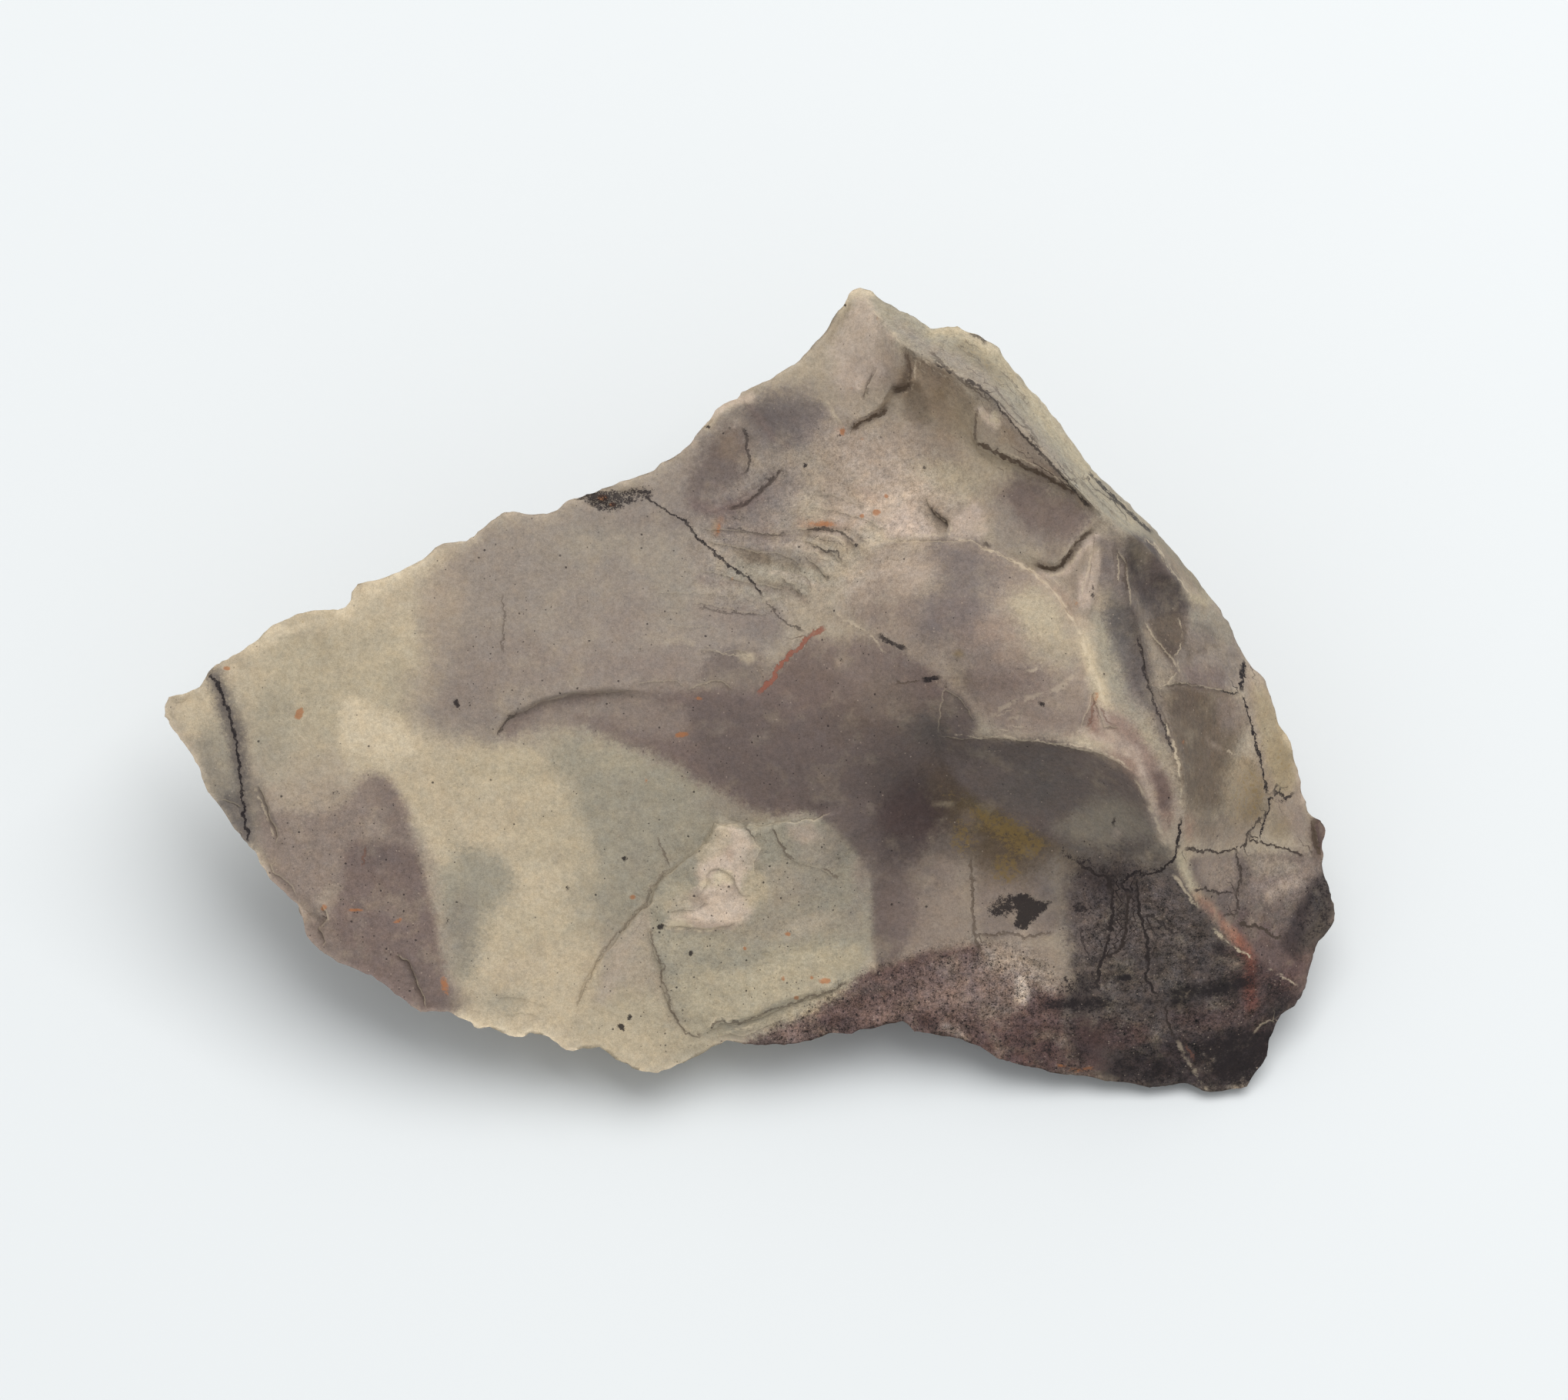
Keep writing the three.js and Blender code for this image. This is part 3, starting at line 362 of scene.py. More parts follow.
# ---- Pigments, as they look in even light: red, green and blue out of 255 ----
PIGMENTS = {
    "ivory": (208, 191, 163),
    "petal": (209, 188, 168),
    "bone": (195, 178, 150),
    "reed": (183, 169, 142),
    "fawn": (172, 157, 137),
    "sage": (157, 148, 130),
    "clay": (158, 141, 125),
    "lilac": (149, 136, 124),
    "blush": (186, 167, 150),
    "mauve": (136, 120, 110),
    "rose": (142, 118, 106),
    "plum": (119, 102, 95),
    "grape": (112, 102, 99),
    "dusk": (105, 92, 87),
    "slate": (98, 91, 87),
    "iron": (82, 72, 68),
    "cinder": (80, 70, 67),
    "char": (56, 46, 46),
    "wine": (76, 55, 53),
    "maroon": (97, 75, 71),
    "umber": (90, 75, 62),
    "bark": (113, 98, 82),
    "hazel": (149, 127, 105),
    "pearl": (205, 184, 168),
    "honey": (166, 149, 121),
    "olive": (88, 72, 47),
    "ochre": (118, 96, 54),
    "salmon": (158, 110, 88),
    "rust": (160, 102, 60),
    "brick": (140, 80, 62),
    "soot": (34, 28, 29),
}
BASE_PIGMENT = "fawn"


def blob(column, row, half_length, half_height, turn=0):
    """A round patch: its middle, its half sizes in squares and its turn in degrees."""
    return "blob", (column, row, half_length, half_height, math.radians(turn))


def patch(*numbers):
    """A patch with a rounded outline through the middles of its corners' sides."""
    return "patch", line(*numbers)


def facet(*numbers):
    """A patch with straight sides between its corners."""
    return "facet", line(*numbers)


def stroke(half_width, *numbers):
    """A brushed band along a line, with its half width in squares."""
    return "stroke", (half_width, line(*numbers))


# (pigment, cover from 0 to 1, softness of the border in squares, shape), first at the bottom
WASHES = [
    # left wing
    ("reed", 0.75, 40, blob(430,880, 130,90, -15)),
    ("bone", 0.55, 34, blob(500,800, 80,60, -25)),
    ("ivory", 0.8, 9, stroke(11, 325,842, 365,821, 450,788, 505,755, 612,702)),
    ("olive", 0.3, 7, stroke(4, 372,812, 398,803, 432,798)),
    ("olive", 0.24, 8, blob(434,778, 7,14, 10)),
    ("olive", 0.2, 9, blob(420,846, 7,18)),
    ("sage", 0.35, 16, blob(470,835, 30,20)),
    ("bone", 0.5, 20, blob(312,872, 46,26, -20)),
    ("bone", 0.8, 16, patch(216,905, 262,884, 284,900, 282,950, 258,962, 226,948)),
    ("sage", 0.6, 22, patch(330,880, 372,900, 372,1010, 340,1020, 318,960)),
    ("sage", 0.7, 14, patch(250,955, 290,925, 310,985, 322,1060, 300,1078, 270,1020)),
    ("slate", 0.85, 9, patch(284,1035, 312,1030, 324,1060, 326,1098, 302,1080)),
    ("slate", 0.7, 13, patch(324,1010, 340,1030, 352,1070, 354,1100, 328,1092)),
    ("slate", 0.9, 11, stroke(9, 276,876, 300,930, 307,960, 323,1095)),
    ("iron", 0.5, 9, stroke(5, 282,884, 306,955, 317,1050)),
    ("mauve", 0.4, 12, blob(352,1048, 20,26, 20)),
    ("clay", 0.6, 16, patch(342,1022, 470,1012, 488,1050, 460,1070, 350,1062)),
    # upper left face
    ("clay", 0.75, 26, patch(552,735, 612,704, 620,760, 572,920, 520,905, 560,850)),
    ("lilac", 1.0, 24, patch(588,716, 625,690, 850,620, 900,560, 960,560, 1020,600, 1060,680, 1010,850,
     960,890, 690,918, 640,955, 590,950, 540,925, 584,850, 600,790)),
    ("sage", 0.3, 30, blob(770,705, 60,30)),
    ("sage", 0.35, 26, blob(870,760, 30,50, -20)),
    ("grape", 0.35, 22, blob(880,695, 26,16, 30)),
    ("mauve", 0.45, 34, blob(690,865, 90,34)),
    ("mauve", 0.4, 26, blob(805,805, 22,20)),
    ("mauve", 0.6, 24, blob(850,872, 70,26, -4)),
    ("dusk", 0.75, 16, patch(916,858, 945,835, 1012,868, 985,902, 930,905, 905,885)),
    ("grape", 0.5, 24, blob(985,815, 40,24, 30)),
    ("mauve", 0.4, 20, blob(608,905, 40,30)),
    # cream tongue on the lower left
    ("bone", 0.85, 9, patch(436,902, 500,915, 600,962, 800,990, 800,1100, 780,1200, 770,1340, 640,1345,
     598,1330, 604,1250, 590,1180, 562,1110, 505,1002, 440,1004)),
    ("ivory", 0.9, 14, patch(436,905, 480,915, 545,945, 545,975, 500,985, 440,975)),
    ("lilac", 0.3, 12, blob(575,962, 30,12, 20)),
    ("lilac", 0.5, 14, stroke(7, 540,935, 590,958, 640,964)),
    ("reed", 0.5, 30, blob(660,1000, 60,26)),
    ("reed", 0.35, 30, blob(720,1090, 50,60)),
    ("reed", 0.4, 22, blob(700,1200, 60,30)),
    ("ivory", 0.4, 16, blob(706,1150, 22,24)),
    ("sage", 1.0, 18, patch(568,1110, 606,1092, 668,1122, 664,1165, 640,1185, 622,1268, 604,1290, 584,1250,
     568,1170)),
    ("grape", 0.35, 20, blob(600,1215, 22,44)),
    ("clay", 0.35, 12, stroke(7, 550,1100, 582,1230)),
    ("sage", 0.75, 12, blob(652,1304, 26,14)),
    # sage band above the low plate
    ("sage", 0.95, 26, patch(700,960, 760,955, 850,978, 1010,1066, 950,1080, 850,1160, 806,1225, 780,1180,
     735,1010)),
    ("sage", 0.55, 26, blob(775,1165, 36,60, 10)),
    ("reed", 0.45, 22, blob(800,985, 26,14)),
    ("lilac", 0.6, 16, blob(944,1052, 34,14, 12)),
    # plum patch on the lower left border
    ("mauve", 0.9, 9, patch(330,1066, 370,1054, 410,1058, 448,1048, 462,1020, 480,1002, 500,1000, 528,1052,
     532,1078, 547,1112, 561,1190, 602,1326, 545,1325, 400,1240, 345,1150)),
    ("plum", 0.95, 8, patch(450,1092, 500,1094, 546,1106, 556,1180, 594,1310, 545,1316, 490,1286, 440,1250,
     430,1190, 446,1140)),
    ("plum", 0.45, 10, patch(484,1012, 504,1006, 526,1052, 534,1088, 500,1090)),
    ("dusk", 0.6, 12, blob(505,1112, 34,16, 8)),
    ("dusk", 0.55, 16, blob(548,1262, 16,34, -14)),
    ("plum", 0.45, 20, blob(440,1225, 34,26, 30)),
    ("dusk", 0.5, 10, blob(592,1306, 20,18)),
    ("dusk", 0.4, 14, blob(436,1258, 24,14, 30)),
    ("slate", 0.45, 14, blob(285,1015, 18,44, -16)),
    ("grape", 0.35, 16, blob(585,705, 24,10, -24)),
    # plum mass in the middle
    ("plum", 1.0, 12, patch(645,962, 658,936, 700,915, 765,902, 930,893, 985,900, 1015,862, 1060,822,
     1190,850, 1240,880, 1262,930, 1262,1010, 1240,1060, 1200,1112, 1160,1124, 1122,1110, 1100,1078,
     1060,1062, 1012,1064, 905,1016, 846,980, 756,946, 700,944)),
    ("lilac", 0.75, 22, patch(640,955, 690,925, 760,905, 840,905, 900,930, 870,965, 745,943)),
    ("mauve", 0.7, 18, blob(855,940, 50,24, 12)),
    # painted shade under the hinge
    ("plum", 0.5, 9, stroke(6, 656,946, 680,930, 720,916, 770,908)),
    ("plum", 0.5, 14, blob(800,950, 34,10, 14)),
    ("dusk", 0.75, 24, patch(905,900, 990,905, 1060,930, 1120,930, 1150,960, 1140,1040, 1090,1062,
     1020,1056, 940,1026, 890,985)),
    ("mauve", 0.6, 28, blob(1110,862, 60,30)),
    ("umber", 0.2, 26, blob(1050,880, 46,24)),
    ("umber", 0.35, 26, blob(1140,935, 60,34)),
    ("mauve", 0.55, 20, blob(1150,905, 30,22)),
    ("iron", 0.85, 44, patch(1120,980, 1200,950, 1262,960, 1262,1050, 1200,1112, 1150,1100, 1110,1050)),
    ("slate", 0.7, 28, blob(1208,950, 40,26)),
    ("maroon", 0.6, 22, blob(1185,1072, 50,38)),
    ("soot", 0.35, 26, blob(1200,1052, 46,34)),
    # plum band going down, and the blocks right of it
    ("dusk", 0.95, 6, patch(1128,1085, 1200,1095, 1192,1170, 1180,1240, 1128,1272)),
    ("dusk", 0.5, 22, blob(1190,1150, 24,44)),
    ("iron", 0.5, 18, blob(1160,1108, 30,20)),
    ("mauve", 0.85, 26, patch(1170,1130, 1262,1100, 1264,1222, 1225,1238, 1168,1252)),
    ("clay", 0.6, 20, patch(1200,1160, 1262,1140, 1264,1222, 1210,1240)),
    ("plum", 0.5, 20, blob(1160,1180, 26,60)),
    ("mauve", 0.9, 9, patch(1264,1104, 1320,1112, 1370,1150, 1380,1215, 1320,1222, 1266,1218)),
    ("clay", 0.5, 20, blob(1300,1200, 50,22)),
    ("slate", 0.55, 20, blob(1362,1150, 22,40)),
    # olive stain under the dark scar
    ("umber", 0.75, 22, patch(1196,1005, 1238,985, 1350,1068, 1440,1108, 1400,1136, 1330,1120, 1290,1130,
     1205,1050)),
    ("iron", 0.6, 14, stroke(10, 1350,1078, 1450,1116)),
    ("olive", 0.85, 18, patch(1236,1040, 1280,1042, 1380,1096, 1366,1122, 1300,1150, 1250,1080)),
    ("mauve", 0.6, 7, blob(1258,1064, 12,12, -30)),
    ("mauve", 0.5, 6, blob(1268,1090, 12,7)),
    ("bone", 0.7, 3, blob(1226,1046, 10,2)),
    ("dusk", 0.5, 10, blob(1240,1105, 26,14)),
    ("grape", 0.4, 14, blob(1300,1205, 40,12)),
    ("grape", 0.4, 14, blob(1350,1130, 22,34)),
    ("umber", 0.55, 16, patch(1232,1060, 1300,1076, 1350,1100, 1330,1140, 1270,1140, 1244,1110)),
    ("bark", 0.5, 14, blob(1300,1140, 40,20)),
    ("mauve", 0.7, 20, blob(1148,905, 34,26)),
    # dark scar: darker washes, partly painted shade, with a band of painted shadow under its lip
    ("dusk", 0.95, 7, patch(1212,952, 1340,960, 1420,974, 1482,1006, 1516,1106, 1440,1112, 1370,1098,
     1300,1062, 1236,1015)),
    ("slate", 0.7, 30, blob(1330,1010, 70,34, 14)),
    ("iron", 0.55, 16, blob(1290,975, 80,12, 4)),
    ("plum", 0.5, 22, blob(1290,1000, 30,14)),
    ("sage", 0.55, 24, patch(1380,1070, 1440,1030, 1490,1060, 1512,1100, 1440,1104, 1380,1090)),
    ("slate", 0.5, 12, stroke(9, 1390,1100, 1440,1110, 1510,1108)),
    ("blush", 0.5, 4, blob(1452,1085, 5,6)),
    # dark foot of the stone
    ("cinder", 0.95, 20, patch(1376,1112, 1530,1108, 1610,1232, 1700,1290, 1640,1425, 1400,1410, 1372,1320,
     1392,1250)),
    ("dusk", 0.7, 16, patch(1380,1150, 1420,1150, 1426,1200, 1412,1250, 1384,1240)),
    ("char", 0.45, 18, patch(1385,1122, 1475,1122, 1486,1170, 1446,1196, 1400,1165)),
    ("slate", 0.45, 16, blob(1520,1140, 26,24, 30)),
    ("dusk", 0.4, 16, blob(1470,1215, 26,22)),
    ("char", 0.5, 16, blob(1450,1262, 34,14)),
    ("char", 0.6, 16, blob(1400,1302, 34,14, 6)),
    ("char", 0.5, 18, blob(1560,1290, 60,18, -14)),
    ("wine", 0.7, 14, stroke(9, 1530,1322, 1580,1314, 1622,1300)),
    ("char", 0.85, 18, patch(1530,1335, 1640,1322, 1680,1330, 1640,1425, 1440,1420, 1440,1370, 1520,1360)),
    ("wine", 0.75, 18, patch(1300,1318, 1400,1330, 1440,1360, 1430,1425, 1320,1400)),
    ("char", 0.4, 16, blob(1380,1376, 46,18, 10)),
    ("cinder", 0.6, 10, blob(1496,1406, 30,8)),
    ("rose", 0.35, 7, stroke(4, 1400,1404, 1480,1410)),
    ("blush", 0.5, 6, patch(1538,1118, 1552,1122, 1560,1148, 1548,1156, 1536,1140)),
    ("char", 0.7, 9, patch(1704,1116, 1726,1130, 1730,1176, 1708,1204, 1694,1180)),
    ("wine", 0.6, 8, patch(1704,1060, 1724,1064, 1730,1090, 1724,1112, 1708,1104)),
    ("maroon", 0.7, 10, patch(1622,1226, 1660,1230, 1700,1250, 1694,1284, 1624,1262)),
    ("brick", 0.45, 8, stroke(7, 1612,1206, 1622,1236, 1626,1270, 1622,1306)),
    ("char", 0.85, 4, facet(1574,1226, 1584,1222, 1596,1238, 1596,1252, 1584,1248)),
    ("cinder", 0.7, 9, patch(1540,1230, 1576,1226, 1600,1256, 1580,1274, 1540,1262)),
    ("char", 0.6, 6, blob(1424,1142, 24,12, 30)),
    ("dusk", 0.6, 8, patch(1486,1146, 1530,1130, 1546,1156, 1530,1186, 1500,1184)),
    ("slate", 0.5, 6, patch(1500,1270, 1530,1262, 1536,1280, 1512,1288)),
    ("wine", 0.7, 10, patch(1390,1330, 1440,1324, 1500,1330, 1490,1362, 1420,1366)),
    ("maroon", 0.6, 8, blob(1410,1385, 30,9, -8)),
    ("char", 0.8, 8, patch(1490,1352, 1540,1346, 1548,1384, 1510,1404, 1470,1388)),
    ("maroon", 0.45, 8, blob(1590,1326, 44,8, -8)),
    ("petal", 0.6, 2, blob(1502,1419, 4,3)),
    ("petal", 0.5, 2, blob(1563,1370, 2,2)),
    ("petal", 0.5, 2, blob(1578,1377, 3,2)),
    ("hazel", 0.4, 6, patch(1604,985, 1640,990, 1648,1040, 1620,1060, 1600,1040)),
    ("char", 0.5, 4, stroke(3, 1712,1068, 1716,1090, 1724,1108)),
    # speckled maroon foot
    ("maroon", 0.95, 7, patch(950,1362, 1000,1340, 1088,1291, 1118,1266, 1180,1242, 1255,1224, 1330,1228,
     1392,1262, 1376,1330, 1400,1400, 1290,1392, 1190,1355, 1100,1360, 1000,1376)),
    ("plum", 0.6, 16, blob(1020,1350, 60,14, -14)),
    ("plum", 0.55, 16, blob(1235,1262, 36,20)),
    ("mauve", 0.85, 22, blob(1310,1262, 44,26, 16)),
    ("clay", 0.85, 18, patch(1270,1222, 1340,1222, 1390,1240, 1392,1290, 1356,1290, 1280,1250)),
    ("rose", 0.5, 14, blob(1310,1275, 36,18, 10)),
    ("mauve", 0.5, 18, blob(1270,1300, 50,14)),
    ("rose", 0.35, 16, blob(1180,1320, 60,20, 4)),
    ("blush", 0.85, 5, blob(1327,1290, 6,15, 10)),
    ("maroon", 0.6, 12, blob(1350,1305, 20,14)),
    ("dusk", 0.6, 8, blob(1138,1282, 50,5, -4)),
    ("mauve", 0.5, 8, stroke(4, 1190,1352, 1206,1342, 1232,1336, 1250,1342)),
    ("petal", 0.7, 4, facet(1318,1272, 1330,1268, 1338,1290, 1332,1308, 1322,1300)),
    ("petal", 0.5, 5, blob(1330,1212, 12,6, -20)),
    ("blush", 0.6, 4, stroke(3, 1226,1334, 1240,1340, 1256,1352)),
    ("clay", 0.6, 12, patch(1330,1226, 1374,1236, 1372,1268, 1346,1282, 1330,1256)),
    ("rose", 0.5, 12, blob(1225,1290, 30,12, -6)),
    ("char", 0.6, 4, stroke(3, 1060,1330, 1088,1324, 1110,1330)),
    ("wine", 0.7, 9, patch(1180,1324, 1214,1318, 1226,1338, 1204,1350)),
    ("wine", 0.6, 9, blob(1300,1370, 40,12, 12)),
    ("wine", 0.5, 10, blob(1080,1330, 40,8, -8)),
    ("rose", 0.4, 8, blob(1034,1336, 26,7, -20)),
    ("dusk", 0.9, 12, patch(1030,1036, 1120,1030, 1150,1080, 1132,1150, 1094,1100, 1040,1062)),
    # low plate
    ("sage", 1.0, 7, patch(925,1068, 1008,1066, 1068,1054, 1122,1124, 1132,1160, 1132,1235, 1116,1268,
     1086,1290, 960,1350, 890,1350, 862,1290, 840,1200, 850,1150, 912,1090)),
    ("lilac", 0.55, 16, blob(1056,1100, 36,24, 30)),
    ("mauve", 0.35, 14, blob(1086,1080, 16,20)),
    ("blush", 0.5, 6, blob(1050,1086, 14,6, 10)),
    ("lilac", 0.5, 16, stroke(9, 1118,1130, 1120,1170, 1112,1210)),
    ("rose", 0.4, 9, blob(1116,1138, 8,18)),
    ("fawn", 0.7, 14, blob(1010,1150, 34,30, -30)),
    ("lilac", 0.35, 18, blob(1050,1150, 24,20)),
    ("reed", 0.8, 18, patch(868,1286, 900,1262, 960,1262, 1000,1240, 1080,1226, 1118,1240, 1100,1276,
     900,1350)),
    ("fawn", 0.6, 16, blob(1060,1205, 50,14, -14)),
    ("sage", 0.6, 12, blob(948,1300, 20,9, 4)),
    ("reed", 0.5, 9, stroke(5, 935,1346, 970,1342, 1084,1296)),
    ("reed", 0.6, 14, blob(888,1170, 26,20, -30)),
    ("petal", 0.9, 6, patch(928,1074, 966,1074, 990,1114, 972,1126, 962,1154, 984,1172, 974,1194, 940,1210,
     862,1206, 874,1194, 900,1182, 894,1166, 914,1148, 902,1130, 926,1100)),
    ("blush", 0.5, 8, blob(930,1105, 22,14, -30)),
    ("ivory", 0.9, 3, blob(918,1148, 8,5, -30)),
    ("ivory", 0.9, 3, blob(881,1202, 14,3, 4)),
    ("clay", 0.6, 4, blob(908,1164, 9,7)),
    ("clay", 0.5, 4, blob(950,1160, 6,10, 30)),
    ("clay", 0.5, 4, stroke(3, 958,1126, 950,1140, 954,1152)),
    ("rose", 0.5, 4, blob(898,1196, 10,3, 10)),
    ("salmon", 0.3, 6, blob(936,1203, 20,3)),
    ("salmon", 0.3, 4, blob(948,1112, 4,8)),
    ("fawn", 0.7, 6, blob(888,1176, 20,12, -30)),
    ("bone", 0.8, 7, patch(966,1128, 986,1132, 1000,1148, 1000,1166, 984,1180, 968,1178)),
    ("bone", 0.6, 5, facet(926,1076, 944,1074, 950,1092, 930,1112, 908,1124, 904,1108)),
    ("sage", 0.5, 5, facet(964,1104, 986,1100, 992,1116, 976,1128, 966,1122)),
    ("ivory", 0.9, 2, facet(926,1136, 938,1128, 952,1134, 954,1150, 940,1146, 930,1154)),
    ("clay", 0.7, 3, facet(892,1164, 908,1158, 922,1166, 920,1178, 900,1180)),
    ("blush", 0.6, 4, facet(1022,1072, 1056,1068, 1064,1088, 1040,1096, 1026,1088)),
    ("ivory", 0.5, 2, facet(868,1196, 884,1192, 900,1200, 900,1208, 868,1206)),
    ("fawn", 0.6, 14, patch(970,1190, 1050,1180, 1090,1200, 1010,1224, 930,1226)),
    ("reed", 0.3, 24, blob(890,1225, 50,20)),
    ("bone", 0.5, 14, blob(1055,1300, 30,8, -24)),
    # cream foot below and left of the low plate
    ("reed", 0.7, 16, patch(760,1300, 850,1285, 880,1335, 960,1362, 850,1402, 770,1370, 740,1340)),
    ("blush", 0.4, 12, stroke(10, 834,1200, 806,1238, 788,1290)),
    ("ivory", 0.75, 9, stroke(10, 600,1326, 660,1342, 700,1344, 740,1356, 790,1360, 830,1382, 866,1385)),
    ("bone", 0.6, 16, patch(712,1306, 780,1310, 850,1350, 866,1384, 800,1376, 730,1350)),
    ("sage", 0.45, 12, blob(895,1372, 40,10, -20)),
    # upper left scar and the gully
    ("lilac", 0.9, 18, patch(900,560, 950,520, 1060,480, 1110,500, 1100,560, 1050,600, 960,640, 900,640)),
    ("dusk", 0.85, 16, patch(928,566, 958,552, 974,590, 962,632, 915,650, 880,640)),
    ("grape", 0.85, 16, patch(968,528, 1010,520, 1060,530, 1070,560, 1030,580, 990,570)),
    ("ivory", 0.6, 4, stroke(3, 918,556, 936,538, 958,522)),
    ("maroon", 0.55, 10, stroke(8, 898,652, 925,660, 955,660, 975,648)),
    ("grape", 0.6, 18, blob(1000,648, 46,20, -30)),
    ("dusk", 0.55, 14, stroke(9, 958,664, 985,646, 1005,622)),
    ("mauve", 0.45, 16, blob(1040,625, 30,20, -30)),
    ("plum", 0.6, 18, blob(985,690, 40,16, 10)),
    ("grape", 0.4, 14, blob(1000,708, 26,10)),
    ("grape", 0.6, 16, patch(955,522, 1000,505, 1060,510, 1080,560, 1040,590, 980,590)),
    ("plum", 0.5, 5, stroke(5, 975,528, 1008,572, 1022,582)),
    ("petal", 0.8, 4, stroke(5, 926,540, 948,524, 976,514)),
    ("ivory", 0.5, 3, stroke(2, 1072,522, 1094,556)),
    ("maroon", 0.5, 8, patch(896,652, 930,648, 985,655, 960,666, 905,670)),
    ("hazel", 0.45, 8, blob(948,580, 12,18)),
    ("petal", 0.5, 3, blob(902,575, 5,4)),
    # upper scar
    ("clay", 0.95, 22, patch(1060,590, 1110,560, 1200,540, 1270,590, 1310,640, 1290,700, 1120,700,
     1070,670)),
    ("blush", 0.7, 24, blob(1160,615, 60,30, 14)),
    ("reed", 0.6, 22, blob(1240,625, 50,26, 14)),
    ("blush", 0.75, 18, blob(1130,676, 50,22, -6)),
    ("lilac", 0.9, 18, patch(1290,640, 1320,630, 1330,690, 1320,712, 1280,702)),
    ("ivory", 0.5, 7, blob(1140,696, 12,10)),
    ("salmon", 0.35, 8, blob(1072,681, 24,5)),
    ("salmon", 0.25, 8, blob(1130,645, 20,8, 20)),
    ("pearl", 0.55, 3, facet(1150,698, 1154,678, 1168,662, 1184,652, 1222,700)),
    ("pearl", 0.5, 3, facet(1232,702, 1236,680, 1266,652, 1278,668, 1284,690, 1272,704)),
    ("umber", 0.35, 4, facet(1206,652, 1222,664, 1234,678, 1228,696, 1214,684)),
    ("fawn", 0.7, 3, facet(1116,700, 1120,684, 1132,674, 1142,682, 1136,702)),
    ("petal", 0.5, 8, stroke(6, 1130,655, 1200,636)),
    ("petal", 0.35, 18, blob(1170,650, 50,12, -6)),
    ("rust", 0.4, 6, blob(1063,681, 16,5, 4)),
    ("grape", 0.35, 26, patch(850,650, 900,620, 985,640, 960,700, 890,700)),
    ("grape", 0.3, 22, blob(820,675, 44,20)),
    # hackles: bands of colour; the thin umber strokes on their risers are painted shade, the pearl strokes
    # beside them painted highlight
    ("sage", 0.7, 22, patch(930,735, 1020,700, 1060,720, 1060,765, 1010,780, 950,770)),
    ("plum", 0.45, 9, stroke(6, 990,712, 1062,732)),
    ("plum", 0.35, 8, stroke(5, 1020,694, 1070,694, 1100,702)),
    ("mauve", 0.5, 12, stroke(7, 905,792, 950,802, 1005,806)),
    ("bark", 0.6, 7, stroke(6, 962,722, 984,722, 1010,730, 1036,734)),
    ("plum", 0.5, 6, stroke(4, 908,752, 940,758, 968,758, 1000,768)),
    ("plum", 0.45, 6, stroke(5, 1000,764, 1030,768, 1046,780)),
    ("bark", 0.5, 5, stroke(4, 1048,692, 1072,702, 1090,714)),
    ("bark", 0.5, 4, blob(1108,708, 10,6, 40)),
    ("pearl", 0.35, 6, stroke(3, 1000,706, 1040,708, 1070,718)),
    ("pearl", 0.3, 6, stroke(3, 1020,752, 1050,756, 1066,766)),
    ("hazel", 0.7, 3, blob(929,686, 5,13, 6)),
    ("bone", 0.45, 3, facet(958,848, 980,850, 984,858, 974,864, 962,858)),
    ("bone", 0.3, 4, stroke(3, 864,836, 884,830, 900,836)),
    ("umber", 0.5, 2, stroke(3, 1051,687, 1098,687, 1122,703)),
    ("umber", 0.5, 2, stroke(3, 1068,718, 1086,722, 1096,735)),
    ("umber", 0.4, 2, stroke(3, 1055,735, 1075,751)),
    ("bark", 0.55, 3, facet(952,716, 975,712, 1000,722, 1004,732, 966,730)),
    ("bark", 0.45, 3, stroke(3, 987,755, 1020,762, 1043,775)),
    ("plum", 0.5, 5, stroke(6, 902,654, 940,662, 985,648)),
    ("rust", 0.3, 3, stroke(3, 938,674, 932,694)),
    ("pearl", 0.3, 2, stroke(2, 1056,694, 1096,694, 1112,706)),
    ("pearl", 0.3, 2, stroke(2, 1000,742, 1040,748, 1056,760)),
    # peak and the hollow beneath it
    ("fawn", 0.9, 16, patch(1050,470, 1110,375, 1135,380, 1190,480, 1160,530, 1100,540, 1060,520)),
    ("clay", 0.6, 16, blob(1110,500, 40,30)),
    ("mauve", 0.6, 14, blob(1150,478, 18,30, -20)),
    ("ivory", 0.8, 7, stroke(7, 1094,404, 1108,382, 1130,380)),
    ("pearl", 0.5, 16, patch(1090,420, 1112,384, 1136,400, 1160,438, 1150,480, 1110,520, 1082,500)),
    ("pearl", 0.6, 4, blob(1161,435, 6,7, 30)),
    ("clay", 0.5, 4, facet(1140,420, 1156,436, 1170,462, 1166,492, 1146,480, 1136,450)),
    ("ochre", 0.3, 5, stroke(3, 1078,440, 1102,398)),
    ("olive", 0.25, 7, blob(1094,404, 9,14, 40)),
    # the hollow under the ridge: brown washes, partly painted shade
    ("hazel", 0.7, 9, patch(1176,456, 1200,460, 1240,496, 1266,530, 1266,556, 1176,530, 1160,512)),
    ("hazel", 0.5, 14, blob(1240,548, 26,30)),
    ("umber", 0.3, 8, stroke(6, 1186,462, 1236,500, 1262,530)),
    ("bark", 0.6, 4, facet(1180,500, 1194,492, 1214,552, 1196,556, 1170,540)),
    ("bark", 0.5, 4, facet(1244,512, 1262,520, 1268,545, 1258,556, 1240,540)),
    ("ochre", 0.3, 8, blob(1222,512, 8,12, 20)),
    # painted shadow in the notch and under the lip of the peak
    ("umber", 0.85, 5, stroke(5, 1178,456, 1180,480, 1178,496, 1163,506)),
    ("umber", 0.6, 4, facet(1104,558, 1112,544, 1150,526, 1154,534, 1110,563)),
    ("salmon", 0.4, 5, blob(1094,560, 6,5)),
    # outer face right of the ridge
    ("sage", 1.0, 7, patch(1130,378, 1190,405, 1250,420, 1300,450, 1420,605, 1500,682, 1580,775, 1560,790,
